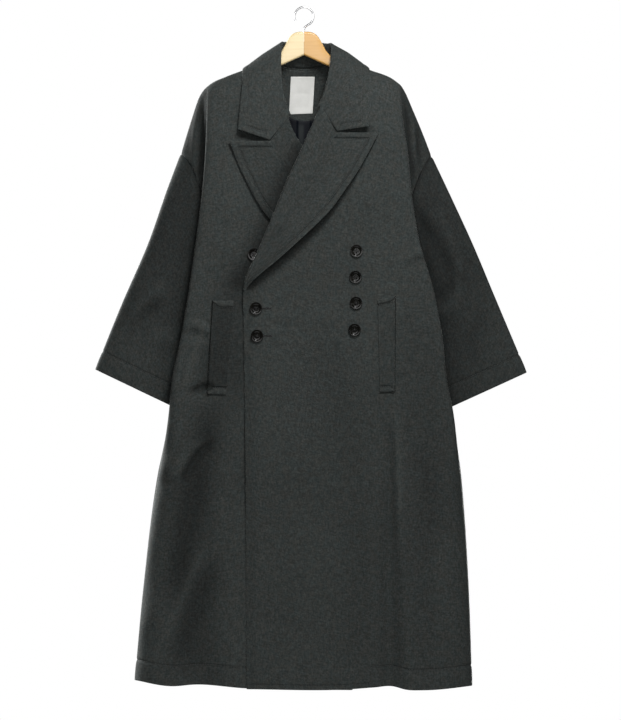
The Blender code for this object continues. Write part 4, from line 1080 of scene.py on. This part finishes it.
def makeCollar():
    p = collar
    left, right = ([collarPoints(side, row, lift) for row, lift in zip(collarRows[side], p["endLift"][side])]
                   for side in (-1, 1))
    sections = np.array(left + [collarPoints(1, collarBack)] + right[::-1])
    keys = range(len(sections))
    share = np.linspace(0, 1, p["rows"])  # closer together by the two ends
    at = (len(sections) - 1) * (share + (1 - np.cos(math.pi * share)) / 2) / 2
    fine = np.stack([np.stack([curve(list(zip(keys, sections[:, q, a])), at) for a in range(3)], axis=-1)
                     for q in range(4)], axis=1)
    travel = unit(np.gradient(fine[:, 1], axis=0))
    radius = coat["rollRadius"]
    half = p["fallSteps"] // 2
    falls = np.arange(1, half + 1) / half
    rows = []
    for (seam, fold, mid, edge), way in zip(fine, travel):
        up = fold - seam
        up = unit(up - way * np.dot(up, way))
        out = np.cross(up, way)
        centre = fold - up * radius
        turn = [centre + radius * (up * math.sin(a) - out * math.cos(a))
                for a in np.linspace(0, math.pi, p["turnSteps"] + 1)]
        stand = [seam + (turn[0] - seam) * t for t in np.linspace(0, 1, p["standSteps"], endpoint=False)]
        fall = [a + (b - a) * t for a, b in ((turn[-1], mid), (mid, edge)) for t in falls]
        rows.append(stand + turn + fall)
    outer = np.array(rows)
    first = p["standSteps"] + p["turnSteps"] - 2
    face = outer[:, first:]
    row = np.arange(len(rows))
    middle = ease(np.minimum(row, row[::-1]) / p["stiffRows"])[:, None, None]
    for again in range(p["smoothing"]):  # the fall bends softly over its middle, less so at its cut ends
        face[:, 1:-1] += middle * (face[:, :-2] - 2 * face[:, 1:-1] + face[:, 2:]) / 4
    probe = ((len(rows) // 2, p["standSteps"] + p["turnSteps"] // 2), (0, 0, 1))
    normals = gridNormals(outer, probe)
    fromEdge = alongGrid(outer, 1, fromEnd=True)
    fromEnds = np.minimum(alongGrid(outer, 0), alongGrid(outer, 0, fromEnd=True))
    column = np.arange(outer.shape[1])[None, :]
    onFace = column > first + p["faceSkip"]
    free = column > first + p["faceSkip"] + half
    nearest = np.where(free, np.minimum(fromEdge, fromEnds), fromEdge)
    relief = stitchDip(nearest, p["line"], p["band"], p["groove"]) * onFace
    relief = relief * np.where(free & (fromEnds < fromEdge), 1.0, p["longEdge"])  # flatter along the outer edge
    relief = relief - seamSink(fromEnds) * ~free * (column > first)
    # painted shade in the stitch grooves, lighter along the long edge than at the ends
    shown = np.where(fromEdge < fromEnds, p["edgeShade"], p["endShade"])
    shade = stitchShade(nearest, p["line"]) * onFace * shown + woolLook["plainShade"]
    outer = outer + normals * relief[..., None]
    normals = gridNormals(outer, probe)
    piece = makeShell("collar", outer, normals, coat["wall"], rims=(0.7, 1, 0.7, 0.2), shade=shade)
    dress(piece, wool, "wool", "collar")
    inside = slice(p["endSkip"], -p["endSkip"])
    sewGrey(outer[inside], normals[inside], fromEdge[inside], p["line"])
    free = slice(first + p["edgeSkip"] + half, outer.shape[1] - p["edgeSkip"])
    for part, fromEnd in ((slice(0, len(rows) // 2), False), (slice(len(rows) // 2, None), True)):
        grid = outer[part, free]
        sewGrey(grid, normals[part, free], alongGrid(grid, 0, fromEnd=fromEnd), p["line"], True)


makeCollar()
print("collar made")

# Pocket welts

welt = {  # node, side, then outer and inner corners at the top and the foot
    "weltRight": ("welt_right", -1, (182, 587), (141, 587), (193, 774), (156, 776)),
    "weltLeft": ("welt_left", 1, (182, 578), (147, 585), (181, 769), (152, 771)),
}
weltLook = {
    "thick": 2.0, "skin": 0.4, "rows": 130, "columns": 30, "endLine": {"weltRight": 14.0, "weltLeft": 11.0},
    "corner": 3.0, "mitre": 0.85, "band": 1.8, "groove": 1.7, "mouth": 2.2, "mouthWide": 5.0, "lipWide": 38.0,
    "lip": ((2.0, 0.5), (0.6, 0.5), (0.3, 1.6)),  # strip of the pocket past the outer edge, reach and lift; painted at full shade as the pocket mouth's shadow
    # painted shade in the end stitch grooves, and over the welts' faces, most on one welt
    "endShade": 0.6, "paintedShade": {"weltRight": 0.55, "weltLeft": 0.14},
}


def makeWelt(name, node, side, corners):
    p = weltLook
    topOut, topIn, footOut, footIn = (np.array(c, float) for c in corners)
    t = np.linspace(0, 1, p["rows"])[:, None, None]
    w = np.linspace(0, 1, p["columns"])[None, :, None]
    outEdge, inEdge = topOut + (footOut - topOut) * t, topIn + (footIn - topIn) * t
    flat = outEdge + (inEdge - outEdge) * w
    outer, normals = lifted(side, -1, flat[..., 0], flat[..., 1], coat["layGap"] + p["thick"])
    fromOut = alongGrid(outer, 1)
    line = p["endLine"][name]
    stretch = line / np.minimum(line, p["corner"] + fromOut * p["mitre"])  # bars mitred out to the mouth's corners
    ends = [alongGrid(outer, 0, fromEnd=fromEnd) * stretch for fromEnd in (False, True)]
    relief = p["mouth"] * bell(fromOut, p["mouthWide"])
    shade = woolLook["plainShade"]
    for run in ends:
        relief = relief + stitchDip(run, line, p["band"], p["groove"])
        shade = shade + stitchShade(run, line) * p["endShade"]
    # painted shade over the welt's face between its end bars
    shade = shade + p["paintedShade"][name] * (np.minimum(*ends) > line)
    outer = outer + normals * relief[..., None]
    shown = gridNormals(outer, ((60, 15), (0, -1, 0)))
    grids, ways = [outer], [shown]
    for reach, lift in p["lip"][::-1]:
        spot = (outEdge - (inEdge - outEdge) / p["lipWide"] * reach)[:, 0]
        points, way = lifted(side, -1, spot[:, 0], spot[:, 1], lift)
        grids.insert(0, points[:, None])
        ways.insert(0, way[:, None])
    # the pocket strip is painted at full shade
    shade = np.concatenate([np.ones((p["rows"], len(p["lip"]))), shade], axis=1)
    piece = makeShell(name, np.concatenate(grids, axis=1), np.concatenate(ways, axis=1), p["skin"],
                      rims=(0.6, 0.3, 0.6, 1), shade=shade)
    dress(piece, wool, "wool", node)
    for run in ends:
        sewGrey(outer, shown, run, line, True)


for name, (node, side, *corners) in welt.items():
    makeWelt(name, node, side, corners)
print("welts made")

# Inside of the back

inside = {
    "facingHalf": 64.0, "facingFoot": 226.0, "facingRise": 40.0, "facingWall": 1.2, "gap": 0.9,
    "facingStart": 3.0, "facingStitch": 4.0, "facingGrid": (34, 49),
    "liningFoot": 520.0, "liningFootHalf": 130.0, "liningWall": 1.0, "liningGap": 0.2, "liningGrid": (60, 24, 15),
    "pleatHalf": 12.0, "pleatLift": 2.0, "pleatStep": 2.0, "pleatReach": 20, "ripple": 0.8, "ripplePace": (7.0, 60.0),
    "pleatHighlight": (6.0, 5.5),  # where the pleat's painted highlight lies, and its half width
    "label": ((-26, 136), (21, 136), (-30, 212), (17, 210)), "labelThick": 0.8, "labelStitch": 2.0,
    "labelGrid": (40, 28), "labelWave": 0.5, "labelPace": 9.0,
}


def insidePoints(x, drop, depthIn):
    right, rightWays = lifted(1, 1, np.abs(x), drop, -depthIn)
    left, leftWays = lifted(-1, 1, np.abs(x), drop, -depthIn)
    isLeft = (np.broadcast_to(x, right.shape[:-1]) < 0)[..., None]
    return np.where(isLeft, left, right), -np.where(isLeft, leftWays, rightWays)


def facingFoot(x):
    return inside["facingFoot"] - inside["facingRise"] * (x / inside["facingHalf"]) ** 2


def makeFacing():
    p = inside
    rows, columns = p["facingGrid"]
    x = np.linspace(-p["facingHalf"], p["facingHalf"], columns)[None, :]
    t = np.linspace(0, 1, rows)[:, None]
    start = neckLine(x) + p["facingStart"]
    depth = coat["wall"] + p["gap"] + p["facingWall"]
    outer, normals = insidePoints(x + 0 * t, start + (facingFoot(x) - start) * t, depth)
    dress(makeShell("neckFacing", outer, normals, p["facingWall"]), wool, "wool", "neck_facing")
    sewGrey(outer, normals, alongGrid(outer, 0, fromEnd=True), p["facingStitch"], True)


def makeLining():
    p = inside
    rows, sides, folded = p["liningGrid"]
    end, step = p["facingHalf"], p["pleatHalf"] + p["pleatStep"]
    x = np.concatenate([np.linspace(-end, -step, sides), np.linspace(-p["pleatHalf"], p["pleatHalf"], folded),
                        np.linspace(step, end, sides)])[None, :]
    t = np.linspace(0, 1, rows)[:, None]
    wide = np.where(np.abs(x) < p["pleatReach"], 1.0, 1 + (p["liningFootHalf"] / p["facingHalf"] - 1) * t)
    start = facingFoot(x) + coat["seamGap"] + p["liningGap"]
    drop = start + (p["liningFoot"] - start) * t
    pleat = p["pleatLift"] * (np.abs(x) <= p["pleatHalf"])
    paceX, paceDrop = p["ripplePace"]
    ripple = p["ripple"] * np.sin(x / paceX + drop / paceDrop) * (np.abs(x) > p["pleatReach"])
    depth = coat["wall"] + p["gap"] + p["liningWall"] + pleat + np.abs(ripple)
    outer = insidePoints(x * wide, drop, depth)[0]
    normals = gridNormals(outer, ((30, 30), (0, -1, 0)))
    # painted highlight along the pleat's fold, standing for the satin's reflection
    shift, half = p["pleatHighlight"]
    shade = np.exp(-((x + shift) / half) ** 4) * ease(t * 30 - 0.3)
    dress(makeShell("lining", outer, normals, p["liningWall"], shade=shade), satin, "lining", "lining")


def makeLabel():
    p = inside
    topLeft, topRight, footLeft, footRight = (np.array(c, float) for c in p["label"])
    rows, columns = p["labelGrid"]
    t = np.linspace(0, 1, rows)[:, None, None]
    w = np.linspace(0, 1, columns)[None, :, None]
    flat = (topLeft + (footLeft - topLeft) * t) * (1 - w) + (topRight + (footRight - topRight) * t) * w
    depth = coat["wall"] + p["gap"] + p["facingWall"] + coat["layGap"] + p["labelThick"]
    wave = p["labelWave"] * np.sin(flat[..., 1] / p["labelPace"]) * np.sin(math.pi * w[..., 0]) * ease(t[..., 0] * 3)
    outer = insidePoints(flat[..., 0], flat[..., 1], depth + np.abs(wave))[0]
    normals = gridNormals(outer, ((20, 14), (0, -1, 0)))
    dress(makeShell("label", outer, normals, p["labelThick"]), woven, "label", "label")
    for axis in (1, 0):
        for fromEnd in (False, True):
            run = alongGrid(outer, axis, fromEnd=fromEnd)
            row = lineAt(outer, normals, run, p["labelStitch"], axis == 0, stitch["labelLift"])
            stitchLines["white"].append(row)


makeFacing()
makeLining()
makeLabel()
print("inside made")

# Buttons and buttonholes

button = {
    "places": ((1, 105, 488), (1, 103, 540), (1, 104, 592), (1, 101, 646),
               (-1, 100, 495), (-1, 98, 548), (1, -96, 603), (1, -94, 658)),
    "radius": 12.5, "holeRadius": 1.15, "holePitch": 2.4, "drill": (-8.0, 4.0), "drillSides": 14, "segments": 56,
    "profile": ((2.0, 2.5), (5.2, 2.5), (7.2, 2.5), (7.7, 2.7), (8.9, 3.6), (9.5, 4.05), (10.0, 4.15), (12.1, 4.2),
                (12.5, 3.7), (12.5, 2.4), (12.2, 1.2), (11.2, 0.4), (9.6, 0.0), (5.0, 0.0)),
    "turn": 37, "sharp": 42.0, "threadRadius": 0.55, "threadRise": (1.2, 1.5, 0.3),  # low, bow, and the upper of two
    "slitStart": 4.0, "slitReach": 30.0, "slitHalf": 0.952,  # buttonhole's stitches either side of its slit
}


def circle(sides):
    return np.linspace(0, 2 * math.pi, sides, endpoint=False)


def ringMesh(name, rings, sharp):  # skin over rings of points, closed at both ends
    bm = bmesh.new()
    rings = [[bm.verts.new(spot) for spot in ring] for ring in (np.array(rings) * mm).tolist()]
    for one, two in zip(rings[:-1], rings[1:]):
        for k in range(len(one)):
            n = (k + 1) % len(one)
            bm.faces.new((one[k], one[n], two[n], two[k]))
    bm.faces.new(rings[0])
    bm.faces.new(rings[-1])
    bmesh.ops.recalc_face_normals(bm, faces=bm.faces[:])
    mesh = bpy.data.meshes.new(name)
    bm.to_mesh(mesh)
    bm.free()
    mesh.shade_smooth()
    mesh.set_sharp_from_angle(angle=math.radians(sharp))
    return mesh


def tubeMesh(name, path, radius, sides):
    path = np.array(path, float)
    rings = []
    for spot, way in zip(path, unit(np.gradient(path, axis=0))):
        flat = unit(np.cross(way, (0.0, 1.0, 0.0) if abs(way[1]) < 0.9 else (1.0, 0.0, 0.0)))
        other = np.cross(way, flat)
        rings.append([spot + radius * (flat * math.cos(a) + other * math.sin(a)) for a in circle(sides)])
    return ringMesh(name, rings, 50.0)


def evaluated(piece):
    bpy.context.view_layer.update()
    return bpy.data.meshes.new_from_object(piece.evaluated_get(bpy.context.evaluated_depsgraph_get()))


def buttonPattern():  # turned body, then four sewing holes cut through
    rings = [[(r * math.cos(a), -h, r * math.sin(a)) for a in circle(button["segments"])] for r, h in button["profile"]]
    blank = addObject("buttonBlank", ringMesh("buttonBlank", rings, button["sharp"]))
    helpers = [blank]
    for sx, sz in ((1, 1), (-1, 1), (-1, -1), (1, -1)):
        path = [(button["holePitch"] * sx, y, button["holePitch"] * sz) for y in button["drill"]]
        drill = tubeMesh("drill", path, button["holeRadius"], button["drillSides"])
        helpers.append(addObject("drill", drill))
        cut = blank.modifiers.new("cut", "BOOLEAN")
        cut.operation, cut.solver, cut.object = "DIFFERENCE", "EXACT", helpers[-1]
    made = evaluated(blank)
    for helper in helpers:
        bpy.data.objects.remove(helper, do_unlink=True)
    return made


def turned(turn, x, y, z):
    cos, sin = math.cos(turn), math.sin(turn)
    return np.stack([x * cos - z * sin, y, x * sin + z * cos], axis=-1)


def makeButtons():
    pattern = buttonPattern()
    spots = np.array([v.co for v in pattern.vertices]) / mm
    faces = [tuple(f.vertices) for f in pattern.polygons]
    around = (-button["radius"], 0.0, button["radius"])
    low, bow, upper = button["threadRise"]
    for number, (side, x, drop) in enumerate(button["places"], 1):
        seat = lifted(side, -1, x, drop, coat["layGap"])[0]
        dx, dz = np.meshgrid(around, around)
        seat[1] = cloth(side, -1, x + dx, drop + dz)[0].min() - coat["layGap"]
        turn = math.radians((button["turn"] * number) % 90)

        mesh = bpy.data.meshes.new("button%d" % number)
        mesh.from_pydata(((turned(turn, *spots.T) + seat) * mm).tolist(), [], faces)
        mesh.shade_smooth()
        mesh.set_sharp_from_angle(angle=math.radians(button["sharp"]))
        dress(addPiece("button%d" % number, mesh), horn, "button", "button_%d" % number)
        threads = bmesh.new()
        t = np.linspace(-1, 1, 9)
        for way in (1, -1):  # crossed thread over the holes
            rise = -low - bow * (1 - t ** 4) - (upper if way > 0 else 0.0)
            path = seat + turned(turn, button["holePitch"] * t, rise, button["holePitch"] * t * way)
            cross = tubeMesh("cross", path, button["threadRadius"], 8)
            threads.from_mesh(cross)
            bpy.data.meshes.remove(cross)
        mesh = bpy.data.meshes.new("buttonThread%d" % number)
        threads.to_mesh(mesh)
        threads.free()
        dress(addPiece("buttonThread%d" % number, mesh), darkThread, "button")


makeButtons()
for side, x, drop in button["places"][-2:]:  # the two that fasten the upper front
    for lean in (-1.0, 1.0):
        spots = np.linspace(x + button["slitStart"], x + button["slitReach"], 40)
        stitchLines["dark"].append(list(zip(*lifted(side, -1, spots, drop + lean * button["slitHalf"], 0.1))))
print("buttons made")

# Stitching

sewing = {
    "grey": {"pitch": 3.4, "size": (2.6, 0.75, 0.55)},
    "white": {"pitch": 2.2, "size": (1.5, 0.5, 0.4)},
    "dark": {"pitch": 0.85, "size": (0.9, 2.2, 1.0)},
}


def stitchTree():
    tree = bpy.data.node_groups.new("stitchRow", "GeometryNodeTree")
    for name, kind in (("Geometry", "Geometry"), ("Pitch", "Float"), ("Stitch Size", "Vector"), ("Thread", "Material")):
        tree.interface.new_socket(name, in_out="INPUT", socket_type="NodeSocket" + kind)
    tree.interface.new_socket("Geometry", in_out="OUTPUT", socket_type="NodeSocketGeometry")
    start = tree.nodes.new("NodeGroupInput")
    line = addNode(tree, "GeometryNodeMeshToCurve", {"Mesh": start.outputs["Geometry"]})
    paced = addNode(tree, "GeometryNodeResampleCurve",
                    {"Curve": line.outputs["Curve"], "Length": start.outputs["Pitch"]}, mode="LENGTH")
    way = addNode(tree, "GeometryNodeInputTangent")
    up = addNode(tree, "GeometryNodeInputNamedAttribute", {"Name": "up"}, data_type="FLOAT_VECTOR")
    laid = addNode(tree, "FunctionNodeAlignRotationToVector", {"Vector": way.outputs[0]}, axis="X")
    flat = addNode(tree, "FunctionNodeAlignRotationToVector",
                   {"Rotation": laid.outputs[0], "Vector": up.outputs[0]}, axis="Z", pivot_axis="X")
    bead = addNode(tree, "GeometryNodeMeshUVSphere", {"Segments": 6, "Rings": 4, "Radius": 0.5})
    rows = addNode(tree, "GeometryNodeInstanceOnPoints",
                   {"Points": paced.outputs["Curve"], "Instance": bead.outputs["Mesh"],
                    "Rotation": flat.outputs[0], "Scale": start.outputs["Stitch Size"]})
    real = addNode(tree, "GeometryNodeRealizeInstances", {"Geometry": rows.outputs["Instances"]})
    sewn = addNode(tree, "GeometryNodeSetMaterial",
                   {"Geometry": real.outputs["Geometry"], "Material": start.outputs["Thread"]})
    addNode(tree, "NodeGroupOutput", {"Geometry": sewn.outputs["Geometry"]})
    return tree


def sew(tree, name, lines, settings, thread, slot):
    points, ways, edges = [], [], []
    for line in lines:
        first = len(points)
        points += [spot * mm for spot, way in line]
        ways += [way for spot, way in line]
        edges += [(k, k + 1) for k in range(first, len(points) - 1)]
    mesh = bpy.data.meshes.new(name)
    mesh.from_pydata([tuple(p) for p in points], edges, [])
    mesh.attributes.new("up", "FLOAT_VECTOR", "POINT").data.foreach_set("vector", np.array(ways).ravel())
    piece = addPiece(name, mesh)
    modifier = piece.modifiers.new("stitches", "NODES")
    modifier.node_group = tree
    sockets = {item.name: item.identifier for item in tree.interface.items_tree if item.in_out == "INPUT"}
    modifier[sockets["Pitch"]] = settings["pitch"] * mm
    modifier[sockets["Stitch Size"]] = [v * mm for v in settings["size"]]
    modifier[sockets["Thread"]] = thread
    sewn = evaluated(piece)
    piece.modifiers.remove(modifier)
    piece.data = sewn
    piece.data.name = name
    sewn.shade_smooth()
    dress(piece, thread, slot)


rowTree = stitchTree()
sew(rowTree, "topstitching", stitchLines["grey"], sewing["grey"], greyThread, "wool")
sew(rowTree, "labelStitches", stitchLines["white"], sewing["white"], whiteThread, "label")
sew(rowTree, "buttonholes", stitchLines["dark"], sewing["dark"], darkThread, "wool")
print("stitches sewn", len(pieceMade["topstitching"].data.polygons))

# Hanger

hanger = {
    "head": ((0.2, 47.5, 95.0), (10, 47.8, 99.5), (20, 50.5, 104.0), (28, 57.0, 107.6),
             (36, 70.0, 111.2), (45, 86.5, 115.2), (56, 98.0, 120.2), (70, 107.0, 126.5)),
    "arm": ((95, 24.0), (122, 23.5), (150, 22.5), (170, 21.0), (180, 18.0), (186, 12.0)),
    "seat": 2.0, "halfThick": 6.0, "corner": 4.5, "cornerShare": 0.3, "stations": 90, "cornerSteps": 6, "sharp": 40.0,
    "hookRadius": 17.0, "wire": 1.8, "wireSides": 20, "hookTurn": (-50.0, 205.0), "hookSteps": (60, 110),
    "shank": ((0.0, 44.0), (0.6, 40.5), (3.4, 37.0), (7.6, 34.2)),
}


def makeArm(name, node, side, look):
    p = hanger
    stations = list(p["head"])
    for x, tall in p["arm"]:
        top = float(shoulderDrop(side, x)) + coat["wall"] + p["seat"]
        stations.append((x, top, top + tall))
    xs = np.linspace(stations[0][0], stations[-1][0], p["stations"])
    tops, feet = (curve([(s[0], s[i]) for s in stations], xs) for i in (1, 2))
    rings = []
    for x, top, foot in zip(xs, tops, feet):
        trim = min(p["corner"], (foot - top) * p["cornerShare"])
        half, high, low = p["halfThick"] - trim, top + trim, foot - trim
        rings.append([(side * x, y + trim * math.cos(a), -(drop + trim * math.sin(a)))
                      for y, drop, begin in ((half, high, -90), (half, low, 0), (-half, low, 90), (-half, high, 180))
                      for a in np.radians(begin + np.linspace(0, 90, p["cornerSteps"]))])
    dress(addPiece(name, ringMesh(name, rings, p["sharp"])), look, "wood", node)


def makeHook():
    p = hanger
    reach = p["hookRadius"] + p["wire"]
    arcSteps, fineSteps = p["hookSteps"]
    arc = [(reach * math.cos(a), p["hookRadius"] - reach * math.sin(a))
           for a in np.radians(np.linspace(*p["hookTurn"], arcSteps))]
    line = np.array([(0.0, p["head"][0][1] - coat["seamGap"]), *p["shank"], *arc])
    steps = np.concatenate([[0], np.cumsum(np.linalg.norm(np.diff(line, axis=0), axis=1))])
    fine = np.linspace(0, steps[-1], fineSteps)
    across, down = (curve(list(zip(steps, line[:, a])), fine) for a in (0, 1))
    path = np.stack([across, 0 * fine, -down], axis=-1)
    dress(addPiece("hook", tubeMesh("hook", path, p["wire"], p["wireSides"])), steel, "hook", "hanger_hook")


# the arms take the shaded and the lit copy of the beech
makeArm("hangerLeft", "hanger_arm_left", 1, shadedWood)
makeArm("hangerRight", "hanger_arm_right", -1, litWood)
makeHook()
print("hanger made")

# Floor, light and camera

studio = {
    "floorDrop": 2100.0, "floorRadius": 1.3, "middle": (13.0, 706.0), "away": 24.0, "pixel": 2.0,
    "photoHeight": 720, "sensor": 36.0, "frontPlane": -0.065, "aim": (0.0, 0.0, -0.65), "skyLight": 0.06,
    "lamps": (("keyLight", (0.45, -1.6, 1.2), 0.6, 62.0), ("sideLight", (2.2, -2.8, 0.0), 1.4, 24.0),
              ("neckLight", (-0.1, -1.9, -0.1), 0.8, 12.0),
              ("rimLight", (-2.1, 1.5, 0.1), 1.0, 300.0), ("backLight", (1.2, 2.9, 1.0), 2.2, 38.0)),
}


def makeStage():
    bm = bmesh.new()
    bmesh.ops.create_circle(bm, cap_ends=True, segments=96, radius=studio["floorRadius"])
    mesh = bpy.data.meshes.new("floor")
    bm.to_mesh(mesh)
    bm.free()
    floor = addObject("floor", mesh)
    floor.location = (0.0, 0.0, -studio["floorDrop"] * mm)
    made, tree, shader = newFinish("paleFloor")
    tree.links.new(ramp(tree, objectNoise(tree, 2.0, 2.0), (0.3, 0.80), (0.7, 0.84)), shader.inputs["Base Color"])
    shader.inputs["Roughness"].default_value = 0.8
    mesh.materials.append(made)


def makeLight():
    world = bpy.data.worlds.new("studio")
    world.use_nodes = True
    bpy.context.scene.world = world
    tree = world.node_tree
    plain = tree.nodes["Background"]
    plain.inputs["Strength"].default_value = studio["skyLight"]
    plain.inputs["Color"].default_value = (1, 1, 1, 1)
    white = addNode(tree, "ShaderNodeBackground", {"Color": (1, 1, 1, 1), "Strength": 1.0})
    seen = addNode(tree, "ShaderNodeLightPath").outputs["Is Camera Ray"]
    both = addNode(tree, "ShaderNodeMixShader", {0: seen, 1: plain.outputs[0], 2: white.outputs[0]})
    tree.links.new(both.outputs[0], tree.nodes["World Output"].inputs["Surface"])
    for name, place, size, power in studio["lamps"]:
        lamp = bpy.data.lights.new(name, "AREA")
        lamp.size = size
        lamp.energy = power
        placed = addObject(name, lamp)
        placed.location = place
        placed.rotation_euler = (Vector(studio["aim"]) - Vector(place)).to_track_quat("-Z", "Y").to_euler()
        placed.visible_camera = False


def makeCamera():
    camera = bpy.data.cameras.new("camera")
    x, drop = studio["middle"]
    camera.sensor_width = studio["sensor"]
    camera.lens = camera.sensor_width * studio["away"] / (studio["photoHeight"] * studio["pixel"] * mm)
    placed = addObject("camera", camera)
    placed.location = (x * mm, studio["frontPlane"] - studio["away"], -drop * mm)
    placed.rotation_euler = (math.radians(90), 0.0, 0.0)
    bpy.context.scene.camera = placed


makeStage()
makeLight()
makeCamera()
bpy.context.scene.view_settings.view_transform = "Standard"
print("studio ready")
